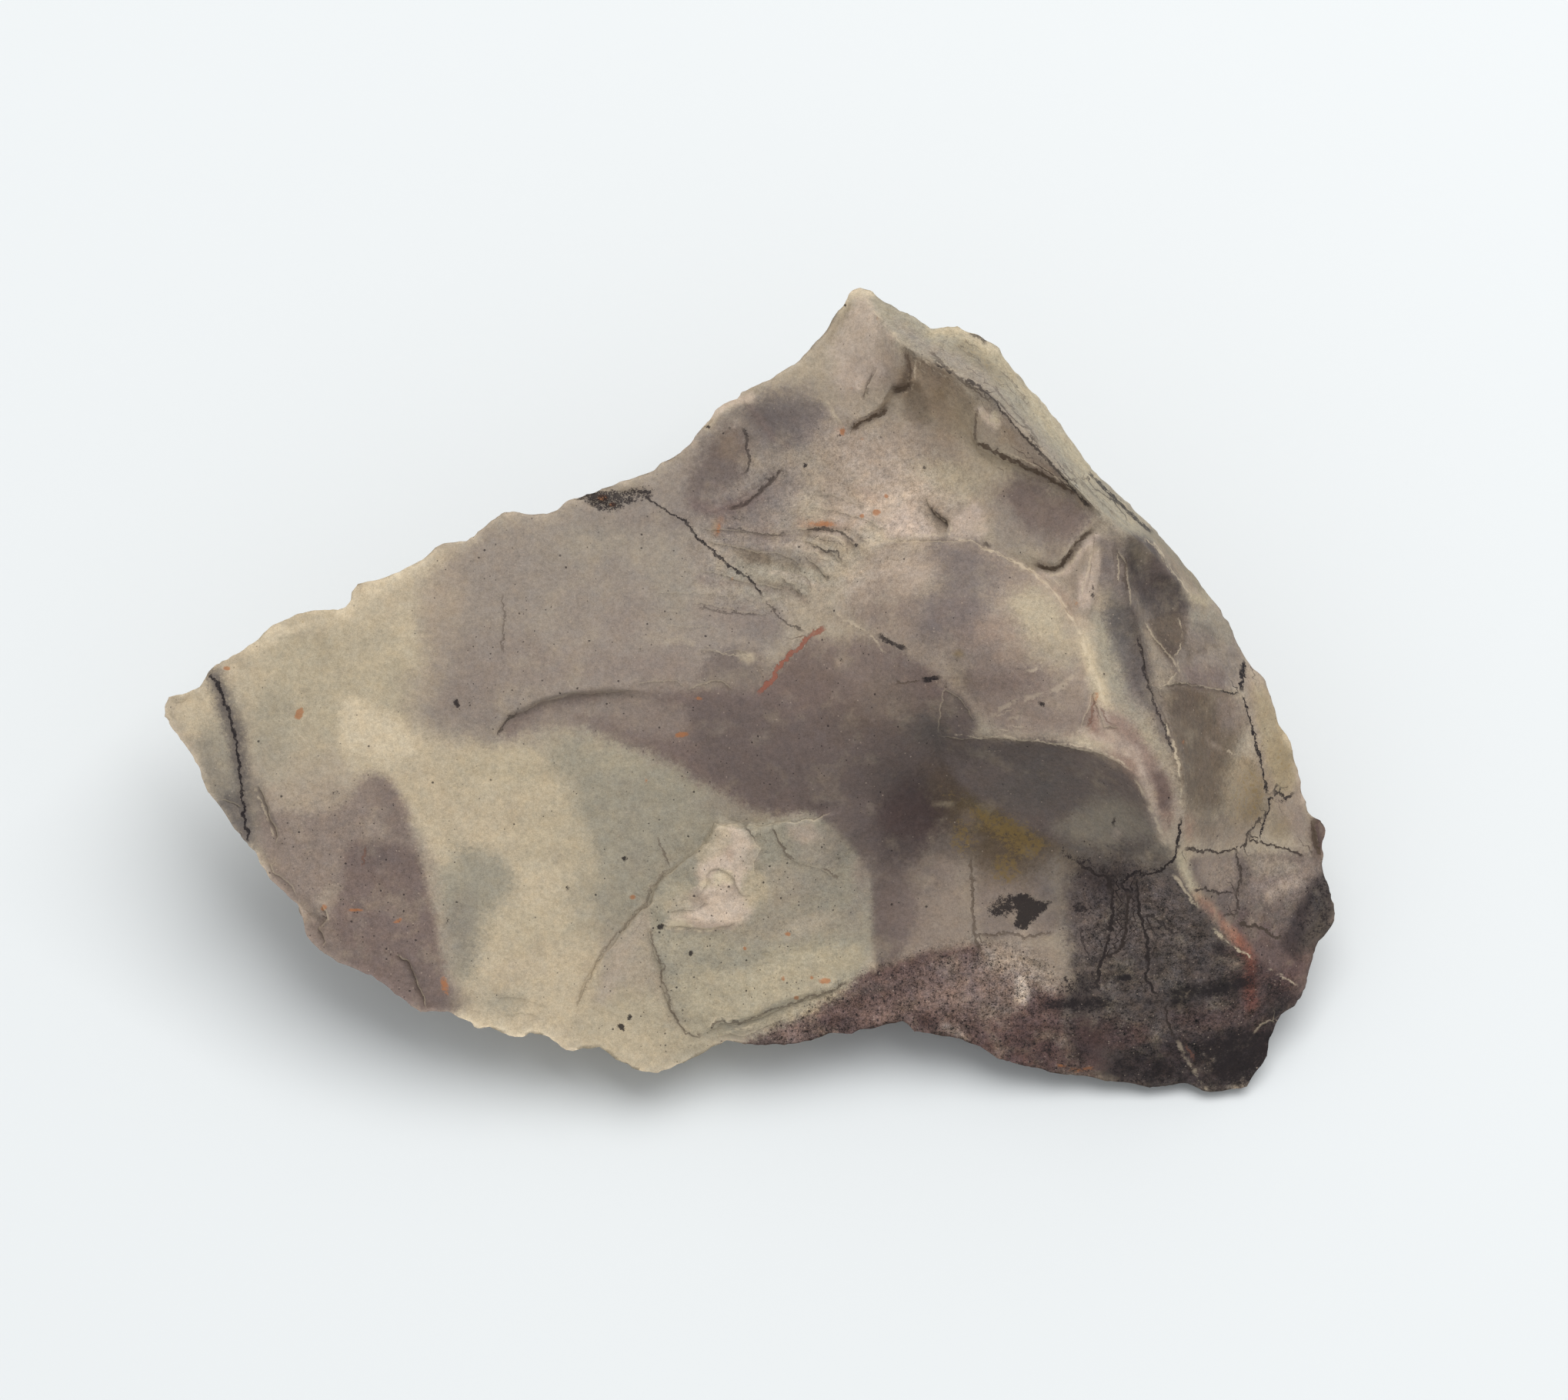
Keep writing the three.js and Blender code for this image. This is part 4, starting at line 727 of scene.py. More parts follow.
     1500,725, 1440,680, 1394,637, 1284,513, 1257,494, 1206,470, 1164,438, 1128,395)),
    ("lilac", 0.8, 14, patch(1150,410, 1200,435, 1290,500, 1420,655, 1270,502, 1195,455)),
    ("reed", 0.9, 9, stroke(10, 1215,428, 1250,430, 1296,462, 1420,616)),
    ("ivory", 0.45, 7, stroke(5, 1222,428, 1250,430, 1290,454)),
    ("ochre", 0.22, 8, stroke(9, 1250,448, 1280,470, 1300,492)),
    ("umber", 0.45, 5, stroke(3, 1268,474, 1282,482)),
    ("reed", 0.4, 9, stroke(6, 1400,618, 1480,680)),
    ("umber", 0.3, 8, stroke(5, 1500,690, 1562,762)),
    ("ochre", 0.2, 9, stroke(7, 1510,705, 1566,772)),
    ("pearl", 0.3, 24, blob(1110,560, 60,30)),
    # bench under the ridge
    ("clay", 0.9, 7, patch(1270,526, 1300,528, 1330,568, 1400,640, 1268,576)),
    ("mauve", 0.6, 8, patch(1270,545, 1300,560, 1300,592, 1270,578)),
    ("petal", 1.0, 2, facet(1266,530, 1276,528, 1287,540, 1296,534, 1302,548, 1296,560, 1284,552)),
    ("ivory", 0.9, 2, facet(1288,536, 1296,532, 1300,544, 1296,556, 1290,546)),
    ("hazel", 0.6, 3, facet(1300,556, 1318,560, 1322,578, 1308,584, 1298,572)),
    ("rose", 0.35, 3, stroke(3, 1336,600, 1360,610, 1384,628)),
    # painted shadow along the bench's foot, with painted shade under it; the plum below is partly painted
    # shade
    ("umber", 0.6, 3, stroke(3, 1267,545, 1268,576, 1356,618, 1396,640, 1418,660)),
    ("bark", 0.15, 8, stroke(7, 1290,600, 1330,622, 1370,634, 1408,656)),
    ("plum", 0.9, 18, patch(1296,618, 1350,620, 1410,655, 1416,684, 1388,712, 1350,722, 1300,660)),
    ("dusk", 0.4, 14, blob(1335,628, 26,10, 20)),
    ("lilac", 0.6, 14, blob(1340,700, 34,14, 10)),
    ("clay", 0.5, 9, blob(1400,655, 16,8, 40)),
    # dome
    ("clay", 1.0, 9, patch(1085,780, 1122,706, 1270,702, 1330,734, 1385,790, 1410,850, 1430,920, 1400,960,
     1290,955, 1190,850, 1150,838)),
    ("fawn", 0.7, 20, blob(1104,755, 34,34, -30)),
    ("pearl", 0.3, 16, blob(1120,762, 30,20, -30)),
    ("blush", 0.6, 18, blob(1185,745, 30,20)),
    ("mauve", 0.8, 24, blob(1160,800, 50,26, 20)),
    ("grape", 0.8, 22, patch(1205,705, 1290,712, 1320,740, 1262,830, 1200,840, 1190,790, 1230,750)),
    ("plum", 0.35, 18, blob(1250,806, 34,34)),
    ("mauve", 0.5, 14, blob(1330,755, 26,12, 30)),
    # the slope up to the crest: paler washes, partly painted light
    ("reed", 0.7, 18, patch(1315,775, 1360,768, 1392,815, 1404,856, 1352,864, 1318,820)),
    ("bone", 0.3, 14, blob(1344,806, 16,24)),
    ("rose", 0.45, 20, blob(1285,838, 40,20)),
    ("grape", 0.5, 18, blob(1262,856, 34,20, 10)),
    ("grape", 0.3, 20, blob(1200,850, 40,14, 10)),
    ("mauve", 0.35, 20, blob(1350,850, 40,20)),
    ("mauve", 0.3, 24, blob(1100,800, 40,16, 20)),
    ("mauve", 0.9, 18, patch(1240,858, 1404,870, 1416,930, 1396,956, 1290,952, 1246,890)),
    ("plum", 0.6, 16, blob(1300,885, 50,18)),
    ("clay", 0.45, 14, blob(1385,905, 26,26)),
    ("umber", 0.35, 12, blob(1253,890, 14,18)),
    ("ochre", 0.6, 4, blob(1245,850, 6,5)),
    ("dusk", 0.85, 5, patch(1226,952, 1230,896, 1246,904, 1262,920, 1270,940, 1262,952)),
    ("umber", 0.3, 18, blob(1150,910, 30,20)),
    # hooked lip, flutes and the inner crest
    ("clay", 0.9, 8, patch(1372,748, 1384,738, 1418,690, 1446,702, 1440,760, 1412,800, 1392,782)),
    ("blush", 0.6, 8, stroke(8, 1348,744, 1372,764, 1392,790, 1404,812)),
    ("blush", 0.6, 7, stroke(6, 1412,712, 1420,720, 1416,752, 1406,780)),
    ("ivory", 0.35, 7, stroke(4, 1418,716, 1434,714, 1446,720)),
    # painted highlight along the hooked lip's edge
    ("pearl", 0.6, 3, stroke(4, 1352,746, 1366,750, 1384,744, 1410,710, 1424,698)),
    ("pearl", 0.5, 3, facet(1398,752, 1414,742, 1424,760, 1416,790, 1402,792)),
    ("grape", 0.5, 4, facet(1430,722, 1444,730, 1446,756, 1434,776, 1426,750)),
    # painted shadow under the hooked lip
    ("umber", 0.6, 3, stroke(2, 1344,733, 1360,739, 1372,740, 1384,730, 1406,700, 1419,690)),
    ("mauve", 0.6, 10, stroke(6, 1392,700, 1372,722, 1352,730)),
    # painted highlight along the crest
    ("bone", 0.9, 6, stroke(9, 1396,806, 1421,870, 1437,924)),
    ("salmon", 0.2, 8, stroke(6, 1374,770, 1396,806)),
    ("sage", 0.9, 12, patch(1410,800, 1440,800, 1470,910, 1520,990, 1500,990, 1436,900)),
    ("reed", 0.7, 12, blob(1496,962, 16,26, -30)),
    ("rose", 0.9, 9, patch(1404,950, 1420,912, 1480,950, 1515,1000, 1530,1050, 1517,1096, 1484,1016)),
    ("plum", 0.65, 8, patch(1486,1000, 1512,1004, 1528,1040, 1516,1058, 1500,1040)),
    ("blush", 0.7, 6, stroke(6, 1422,918, 1436,950, 1474,976, 1514,1094)),
    ("ivory", 0.6, 4, stroke(3, 1404,964, 1428,966, 1444,973)),
    ("blush", 0.5, 7, stroke(5, 1526,1042, 1532,1062, 1530,1090)),
    # angular facets right of the flutes
    # painted shade on the slope of the dark hollow
    ("dusk", 0.9, 3, facet(1462,700, 1476,694, 1502,706, 1516,736, 1552,782, 1542,800, 1508,800, 1484,778,
     1466,740)),
    ("bark", 0.9, 3, facet(1492,806, 1528,800, 1536,822, 1528,852, 1512,852, 1498,830)),
    ("mauve", 0.7, 3, facet(1540,846, 1582,842, 1618,850, 1614,892, 1566,896, 1540,884)),
    ("fawn", 0.6, 3, facet(1540,764, 1562,776, 1576,796, 1560,792, 1544,782)),
    ("ivory", 0.35, 3, stroke(2, 1500,704, 1556,784)),
    ("dusk", 0.6, 10, patch(1484,838, 1520,852, 1552,880, 1560,920, 1520,930, 1490,900)),
    ("slate", 0.5, 8, patch(1530,770, 1566,786, 1612,820, 1600,846, 1556,834, 1534,806)),
    ("grape", 0.6, 5, facet(1424,700, 1446,704, 1464,720, 1470,764, 1480,802, 1462,804, 1434,740)),
    ("blush", 0.5, 2, facet(1410,742, 1424,716, 1432,720, 1428,752, 1408,796)),
    ("wine", 0.35, 3, facet(1498,1004, 1510,1000, 1524,1030, 1522,1052, 1506,1052)),
    ("petal", 0.5, 3, stroke(3, 1404,950, 1448,968, 1466,982)),
    ("brick", 0.25, 4, stroke(3, 1420,906, 1424,930, 1418,950)),
    ("dusk", 0.4, 16, patch(1470,700, 1540,790, 1600,840, 1610,890, 1560,980, 1500,970, 1480,860)),
    ("slate", 0.45, 14, blob(1590,810, 40,18, 44)),
    ("grape", 0.35, 14, patch(1425,690, 1465,690, 1490,880, 1450,880, 1430,780)),
    ("clay", 0.5, 10, blob(1395,810, 14,20)),
    # valley between the crests: darker washes, partly painted shade beyond the lit crest
    ("slate", 0.95, 12, patch(1440,770, 1470,780, 1508,925, 1494,925, 1462,900, 1430,800)),
    ("iron", 0.6, 9, stroke(6, 1476,800, 1490,892, 1516,958)),
    ("grape", 0.5, 12, blob(1474,885, 12,30, -14)),
    ("slate", 0.45, 7, blob(1418,798, 7,6)),
    # dark hollow right of the flutes: painted shade on its slope, which faces away from the light
    ("iron", 0.95, 9, patch(1450,705, 1486,690, 1512,722, 1546,788, 1530,800, 1500,800, 1460,760)),
    ("soot", 0.5, 9, blob(1472,736, 6,14)),
    ("plum", 0.5, 12, blob(1505,745, 16,20, -40)),
    ("soot", 0.25, 12, blob(1506,770, 22,16)),
    ("mauve", 0.5, 9, stroke(6, 1446,706, 1458,780)),
    # right facets
    ("lilac", 0.95, 12, patch(1540,790, 1584,778, 1612,822, 1618,858, 1614,900, 1532,886)),
    ("umber", 0.9, 8, patch(1490,790, 1536,788, 1538,836, 1528,858, 1510,840)),
    ("plum", 0.6, 12, patch(1534,862, 1586,866, 1592,896, 1540,896)),
    ("umber", 0.35, 9, stroke(5, 1537,800, 1538,836, 1548,860)),
    ("reed", 0.7, 9, blob(1556,776, 14,6, 20)),
    ("fawn", 0.95, 6, patch(1488,808, 1528,876, 1526,894, 1504,896, 1494,862)),
    ("bark", 0.9, 12, patch(1508,893, 1560,893, 1612,905, 1618,960, 1590,1090, 1545,1090, 1528,950)),
    ("umber", 0.5, 22, patch(1530,900, 1590,900, 1600,1000, 1580,1050, 1540,1040)),
    ("mauve", 0.7, 14, patch(1580,905, 1614,905, 1624,945, 1600,960, 1580,940)),
    ("clay", 0.95, 9, patch(1618,860, 1640,870, 1660,900, 1690,985, 1704,1060, 1660,1092, 1618,905)),
    ("honey", 0.9, 8, patch(1620,880, 1656,905, 1690,980, 1684,1030, 1652,1030)),
    ("ochre", 0.25, 12, blob(1662,985, 14,40)),
    ("ivory", 0.8, 6, blob(1676,962, 9,8, 30)),
    ("blush", 0.5, 8, stroke(5, 1684,970, 1698,1040)),
    ("umber", 0.4, 6, stroke(4, 1606,822, 1624,850, 1645,876, 1658,905)),
    ("ochre", 0.6, 14, patch(1596,1000, 1634,988, 1650,1040, 1634,1074, 1594,1064)),
    ("fawn", 0.5, 14, blob(1612,1030, 22,30)),
    ("clay", 0.6, 14, patch(1540,1055, 1600,1050, 1640,1080, 1600,1103, 1543,1103)),
    ("sage", 0.35, 12, blob(1580,1060, 24,14)),
    ("salmon", 0.4, 8, blob(1545,1078, 7,16)),
    ("ochre", 0.4, 12, blob(1662,1076, 12,16)),
    ("mauve", 0.75, 9, blob(1690,1078, 14,24)),
    # their crisp edges
    # the first two deepen the painted shade in the dark hollow
    ("soot", 0.6, 3, facet(1464,704, 1476,700, 1484,724, 1476,748, 1466,742)),
    ("iron", 0.75, 3, facet(1492,742, 1512,744, 1534,760, 1522,790, 1504,776)),
    ("slate", 0.45, 4, facet(1484,776, 1504,780, 1528,794, 1500,806, 1486,800)),
    ("clay", 0.6, 3, facet(1502,706, 1516,716, 1552,758, 1562,776, 1542,770)),
    ("bark", 0.6, 2, stroke(2, 1512,722, 1536,752, 1548,762)),
    ("bark", 0.85, 2, facet(1490,806, 1530,800, 1540,822, 1536,842, 1512,838)),
    ("umber", 0.6, 2, facet(1498,820, 1516,826, 1530,846, 1524,862, 1510,848)),
    ("umber", 0.5, 2, stroke(1, 1536,802, 1541,822, 1537,838)),
    ("sage", 0.7, 3, facet(1546,794, 1580,790, 1606,818, 1598,840, 1572,826, 1548,820)),
    ("slate", 0.45, 3, facet(1552,806, 1574,812, 1590,834, 1566,838, 1548,826)),
    ("olive", 0.3, 3, facet(1540,838, 1570,834, 1584,842, 1560,852, 1540,862)),
    ("plum", 0.45, 3, facet(1536,868, 1574,860, 1596,878, 1590,896, 1552,898)),
    ("slate", 0.35, 3, facet(1580,842, 1612,846, 1616,872, 1600,880, 1584,862)),
    ("umber", 0.7, 2, stroke(1, 1556,848, 1572,838, 1588,842)),
    ("umber", 0.6, 3, facet(1508,902, 1534,892, 1572,906, 1562,918, 1530,932, 1514,920)),
    ("bone", 0.3, 3, facet(1620,868, 1642,880, 1650,906, 1634,900)),
    ("char", 0.3, 3, stroke(1, 1608,832, 1622,856, 1642,876)),
    ("blush", 0.3, 2, facet(1566,960, 1580,966, 1590,976, 1574,972)),
    # corner right of the crest
    ("dusk", 0.95, 7, patch(1535,1108, 1700,1110, 1730,1118, 1700,1180, 1680,1290, 1640,1262, 1600,1222,
     1550,1160)),
    ("mauve", 0.8, 14, patch(1618,1110, 1700,1118, 1690,1170, 1640,1172, 1618,1150)),
    ("mauve", 0.4, 12, blob(1575,1130, 20,14)),
    ("maroon", 0.55, 16, patch(1600,1190, 1650,1195, 1690,1240, 1690,1290, 1640,1262, 1604,1222)),
    ("reed", 0.85, 6, stroke(6, 1534,1116, 1544,1140, 1558,1162)),
    ("salmon", 0.5, 6, stroke(5, 1556,1160, 1574,1184, 1612,1224)),
    ("clay", 0.4, 10, blob(1706,1128, 16,12)),
    ("char", 0.85, 7, patch(1722,1112, 1744,1195, 1720,1230, 1692,1250, 1662,1238, 1672,1200)),
    ("slate", 0.5, 9, blob(1712,1165, 10,28, 20)),
    ("maroon", 0.85, 9, patch(1700,1240, 1730,1215, 1712,1250, 1705,1290, 1680,1320, 1660,1290, 1670,1250)),
    ("mauve", 0.4, 7, stroke(3, 1738,1180, 1726,1216, 1710,1248)),
    ("wine", 0.9, 6, blob(1716,1088, 14,28)),
    ("mauve", 0.45, 6, blob(1722,1090, 5,14)),
    ("wine", 0.75, 9, patch(1590,1222, 1640,1250, 1690,1290, 1640,1310, 1600,1280)),
    ("char", 0.7, 12, patch(1640,1285, 1692,1296, 1670,1330, 1640,1330)),
    ("salmon", 0.55, 5, stroke(4, 1592,1202, 1622,1236)),
    ("brick", 0.5, 7, stroke(6, 1612,1222, 1625,1250, 1624,1280, 1628,1304)),
    ("wine", 0.6, 12, stroke(9, 1628,1300, 1632,1330, 1645,1360)),
    ("clay", 0.5, 7, facet(1560,1112, 1604,1114, 1606,1150, 1580,1160, 1558,1140)),
    ("petal", 0.3, 4, facet(1640,1164, 1664,1146, 1690,1138, 1694,1150, 1668,1162, 1650,1176)),
    ("fawn", 0.4, 6, facet(1616,1112, 1660,1116, 1690,1124, 1684,1136, 1630,1140)),
    ("plum", 0.45, 3, blob(1590,1065, 8,3)),
    ("plum", 0.4, 3, blob(1557,1068, 6,3)),
    # deeper tones: darker glazes, which deepen the painted shade over the dark hollow, the valley and the
    # scars, and a pale glaze over the hollow under the ridge
    ("char", 0.4, 24, patch(1130,1030, 1200,1010, 1250,1060, 1240,1120, 1180,1130, 1125,1100)),
    ("umber", 0.35, 20, patch(1545,1040, 1640,1030, 1660,1060, 1640,1100, 1545,1100)),
    ("cinder", 0.35, 16, patch(1440,700, 1480,700, 1540,780, 1540,860, 1500,900, 1470,880)),
    ("dusk", 0.3, 20, patch(1540,790, 1610,810, 1612,895, 1540,890)),
    ("iron", 0.28, 22, blob(1095,1100, 24,22)),
    ("iron", 0.26, 22, blob(1180,1150, 46,20)),
    ("iron", 0.28, 16, blob(1246,1108, 26,16)),
    ("iron", 0.2, 18, blob(1390,1185, 18,40)),
    ("olive", 0.3, 14, blob(1270,1056, 44,12, 14)),
    ("wine", 0.4, 10, blob(1310,1352, 40,10, 8)),
    ("iron", 0.25, 24, patch(1486,880, 1530,860, 1560,940, 1560,1040, 1520,1000)),
    ("ivory", 0.28, 14, patch(1222,500, 1262,520, 1330,600, 1310,640, 1250,590)),
    ("dusk", 0.25, 20, patch(1440,890, 1500,910, 1530,1000, 1500,1010, 1450,960)),
]


# ---- Sums on places ----
FAR = 1e9  # squares, further off than any place
CORNER_CUTS = 2  # times that a patch's corners are cut to round its outline
LATTICE = 32  # values along each side of the block that soft noise is read from


def smooth_step(low, high, value):
    """0 at low and short of it, 1 at high and past it, and an even curve between them."""
    share = np.clip((value - low) / (high - low), 0, 1)
    return share * share * (3 - 2 * share)


def tapered(share, first, last):
    """1 along a line, falling to 0 over these shares of its length at its first and last end."""
    return smooth_step(0, first, share) * smooth_step(1, 1 - last, share)


def cloud(places, size, seed):
    """Soft noise from -1 to 1 at places (rows of three numbers), with lumps about size across."""
    lattice = np.random.default_rng(seed).uniform(-1, 1, (LATTICE, LATTICE, LATTICE))
    spot = places / size
    low = np.floor(spot)
    share = spot - low
    share = share ** 3 * (share * (share * 6 - 15) + 10)
    cell = low.astype(int)
    total = np.zeros(len(places))
    for corner in range(8):
        step = np.array([corner & 1, corner >> 1 & 1, corner >> 2 & 1])
        weight = np.prod(np.where(step, share, 1 - share), axis=1)
        x, y, z = ((cell + step) % LATTICE).T
        total += weight * lattice[x, y, z]
    return total


def clouds(places, size, seed, layers=3):
    """Layers of soft noise, each half as large and half as strong as the one before."""
    return sum(cloud(places, size / 2 ** n, seed + n) / 2 ** n for n in range(layers))


def places_near(points, column, row, reach):
    """Numbers of the grid places within reach of the box round some points."""
    low = points.min(0) - reach
    high = points.max(0) + reach
    across = (column > low[0]) & (column < high[0])
    return np.flatnonzero(across & (row > low[1]) & (row < high[1]))


def from_stretch(x, y, start, end):
    """Each place's distance from a straight stretch, and the share of it where it lies."""
    dx, dy = end - start
    share = np.clip(((x - start[0]) * dx + (y - start[1]) * dy) / (dx * dx + dy * dy), 0, 1)
    return np.hypot(x - start[0] - share * dx, y - start[1] - share * dy), share


def beside(points, column, row, reach):
    """The grid places within reach of a line, and where they lie along it.

    Gives their numbers, their distance in squares with a sign that is positive on the line's
    left, and the share of the line's length.
    """
    points = np.array(points, float)
    near = places_near(points, column, row, reach)
    x = column[near]
    y = row[near]
    best = np.full(len(near), FAR)
    signed = np.zeros(len(near))
    walked = np.zeros(len(near))
    before = 0.0
    for start, end in zip(points[:-1], points[1:]):
        distance, share = from_stretch(x, y, start, end)
        dx, dy = end - start
        length = np.hypot(dx, dy)
        side = np.where(dx * (y - start[1]) - dy * (x - start[0]) < 0, 1.0, -1.0)
        closer = distance < best
        best = np.where(closer, distance, best)
        signed = np.where(closer, side * distance, signed)
        walked = np.where(closer, before + share * length, walked)
        before += length
    close = best < reach
    return near[close], signed[close], walked[close] / before


def cut_corners(corners, times):
    """A closed outline with its corners rounded off."""
    outline = np.array(corners, float)
    for _ in range(times):
        following = np.roll(outline, -1, axis=0)
        cut = np.stack([outline * 0.75 + following * 0.25, outline * 0.25 + following * 0.75], axis=1)
        outline = cut.reshape(-1, 2)
    return outline


def depth_inside(corners, column, row, reach, rounded=True):
    """Numbers of the places near an outline, and how deep inside it they lie, in squares."""
    outline = cut_corners(corners, CORNER_CUTS if rounded else 0)
    near = places_near(outline, column, row, reach)
    x = column[near]
    y = row[near]
    best = np.full(len(near), FAR)
    inside = np.zeros(len(near), bool)
    for start, end in zip(outline, np.roll(outline, -1, axis=0)):
        distance, _ = from_stretch(x, y, start, end)
        best = np.minimum(best, distance)
        dx, dy = end - start
        if dy:
            crossing = dx * (y - start[1]) / dy + start[0]
            inside ^= ((start[1] > y) != (end[1] > y)) & (x < crossing)
    return near, np.where(inside, best, -best)


# ---- Reading and changing the mesh ----
UPPER_FACING = 0.02  # least share of a face's normal that points out of the broad face


def select_only(thing):
    """Makes an object the only one selected, and the one that the next steps act on."""
    bpy.ops.object.select_all(action="DESELECT")
    thing.select_set(True)
    bpy.context.view_layer.objects.active = thing


def set_mode(mode):
    bpy.ops.object.mode_set(mode=mode)


def select_kind(kind, action):
    """Lets edit mode pick vertices, edges or faces, and picks all or none of them."""
    bpy.ops.mesh.select_mode(type=kind)
    bpy.ops.mesh.select_all(action=action)


def cut_to_triangles():
    """Cuts every face into triangles, and goes back to object mode."""
    bpy.ops.mesh.select_all(action="SELECT")
    bpy.ops.mesh.quads_convert_to_tris()
    set_mode("OBJECT")


def rows_of(items, name):
    """A property of each of a mesh's items, as rows of three numbers."""
    flat = np.empty(len(items) * 3, np.float32)
    items.foreach_get(name, flat)
    return flat.reshape(-1, 3).astype(float)


def whole_numbers_of(items, name):
    """A whole number of each of a mesh's items."""
    numbers = np.empty(len(items), np.int32)
    items.foreach_get(name, numbers)
    return numbers


def tree_of(places):
    """A look-up tree of places."""
    tree = KDTree(len(places))
    for number, place in enumerate(places):
        tree.insert(place, number)
    tree.balance()
    return tree


def keep_number(mesh, name, values):
    """Keeps a number on each vertex for the material."""
    attribute = mesh.attributes.new(name, "FLOAT", "POINT")
    attribute.data.foreach_set("value", np.asarray(values, np.float32))


def rim_and_upper(mesh):
    """Whether each vertex is on the rim, and whether it is on the broad face's side.

    The rim is where the broad face's side meets the underside, and it belongs to both.
    """
    facing = rows_of(mesh.polygon_normals, "vector") @ np.array([0, -math.sin(LEAN), math.cos(LEAN)])
    corner_upper = np.repeat(facing > UPPER_FACING, whole_numbers_of(mesh.polygons, "loop_total"))
    corner_vertex = whole_numbers_of(mesh.loops, "vertex_index")
    upper = np.zeros(len(mesh.vertices), bool)
    under = np.zeros(len(mesh.vertices), bool)
    upper[corner_vertex[corner_upper]] = True
    under[corner_vertex[~corner_upper]] = True
    return upper & under, upper


# ---- The stone's shape ----
WELD = 1e-6  # m, corners nearer than this are one
PAIR_BEND = math.radians(20)  # triangles bent less than this are rounded as one face
PAIR_SKEW = math.radians(60)  # how far such a face's corners may be off square
CREST_ANGLE = math.radians(27.0)  # edges bent more than this stay crisp
RIM_CREASE = 0.85  # how closely the rim keeps to its corners
ROUNDING_LEVELS = 2
UNDERSIDE_FROM = 1.5  # mm from the rim, where the underside's mesh is thinned
KEPT_SHARE = 0.87
FINE_BAND = 0.34  # mm either side of a line where the mesh is made finer
FINEST_BAND = 0.25  # mm round a dot, where it is finest


def rounded_copy(rough):
    """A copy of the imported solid, rounded between its crests."""
    mesh = rough.data.copy()
    mesh.name = "jasper_stone"
    stone = bpy.data.objects.new("jasper_stone", mesh)
    bpy.context.collection.objects.link(stone)
    select_only(stone)
    set_mode("EDIT")
    bpy.ops.mesh.select_all(action="SELECT")
    bpy.ops.mesh.remove_doubles(threshold=WELD)
    bpy.ops.mesh.tris_convert_to_quads(face_threshold=PAIR_BEND, shape_threshold=PAIR_SKEW)
    select_kind("EDGE", "DESELECT")
    bpy.ops.mesh.edges_select_sharp(sharpness=CREST_ANGLE)
    bpy.ops.transform.edge_crease(value=1.0)
    select_kind("VERT", "DESELECT")
    set_mode("OBJECT")
    on_rim, _ = rim_and_upper(mesh)
    mesh.vertices.foreach_set("select", on_rim)
    set_mode("EDIT")
    bpy.ops.transform.vert_crease(value=RIM_CREASE)
    set_mode("OBJECT")
    rounding = stone.modifiers.new("Rounding", "SUBSURF")
    rounding.levels = ROUNDING_LEVELS
    rounding.render_levels = ROUNDING_LEVELS
    bpy.ops.object.modifier_apply(modifier="Rounding")
    set_mode("EDIT")
    cut_to_triangles()
    thin_underside(stone)
    return stone


def thin_underside(stone):
    """Takes triangles out of the underside, away from the rim."""
    mesh = stone.data
    places = rows_of(mesh.vertices, "co") / MM
    on_rim, upper = rim_and_upper(mesh)
    tree = tree_of(places[on_rim])
    below = [n for n in np.flatnonzero(~upper) if tree.find(places[n])[2] > UNDERSIDE_FROM]
    group = stone.vertex_groups.new(name="underside")
    group.add([int(n) for n in below], 1.0, "REPLACE")
    thinning = stone.modifiers.new("Thinning", "DECIMATE")
    thinning.ratio = KEPT_SHARE
    thinning.vertex_group = "underside"
    thinning.use_collapse_triangulate = True
    bpy.ops.object.modifier_apply(modifier="Thinning")
    stone.vertex_groups.clear()


def refine_along(stone, lines, band):
    """Splits the triangles of the broad face within band, in mm, of the lines."""
    mesh = stone.data
    column, row = grid_places(rows_of(mesh.vertices, "co"))
    _, upper = rim_and_upper(mesh)
    chosen = np.zeros(len(mesh.vertices), bool)
    for points in lines:
        near, _, _ = beside(points, column, row, band / SQUARE)
        chosen[near] = True
    chosen &= upper
    corners = whole_numbers_of(mesh.loops, "vertex_index")
    touched = chosen[corners.reshape(-1, 3)].any(axis=1)
    set_mode("EDIT")
    select_kind("FACE", "DESELECT")
    set_mode("OBJECT")
    mesh.polygons.foreach_set("select", touched)
    set_mode("EDIT")
    bpy.ops.mesh.subdivide(number_cuts=1)
    cut_to_triangles()


# ---- The stone's surface ----
# sizes in mm, reaches as (where it is lost, where it is full)
WAVER = 0.1  # that the lines wander off their drawn course
RISER = 0.07  # half width of a ledge's riser
NO_LEDGE = 2.0  # distance kept where no ledge is near
LEDGE_REACH = (3, 2)  # in reaches of the ledge
LEDGE_ENDS = 0.12  # share of its length over which each end dies out
# the ledge's mark sets the strength of its painted shade, painted highlight and bump step
LEDGE_MARK = (1.1, 0.5)
STRONG_RISE = 0.25  # rise of a ledge that is marked in full
GROOVE_REACH = 3.5  # in half widths
GROOVE_ENDS = (0.25, 0.3)  # shares of its length over which its ends rise
END_DEPTH = 0.25  # share of its depth that is left at its ends
STEEP_SIDE = 0.55  # half widths: its right side breaks sharply, its left side slopes
GENTLE_SIDE = 1.3
RING_REACH = 20  # squares outside the outline
RING_BORDER = (-5, 35)  # squares inside the outline
RING_WANDER = 0.5
RING_LUMPS = (6.0, 70)  # size and first seed of that wander
LOUDNESS = (5.0, 90)  # size and first seed of the noise that makes the rings strong or weak
CROWDING = (3.7, 0.6)  # spacings and force of the wave that crowds the rings
RIM_CHIPS = [
    # (how many, smallest and largest radius, depth over radius)
    (46, 0.9, 1.7, 0.13),
    (170, 0.4, 0.9, 0.2),
    (420, 0.18, 0.42, 0.3),
]
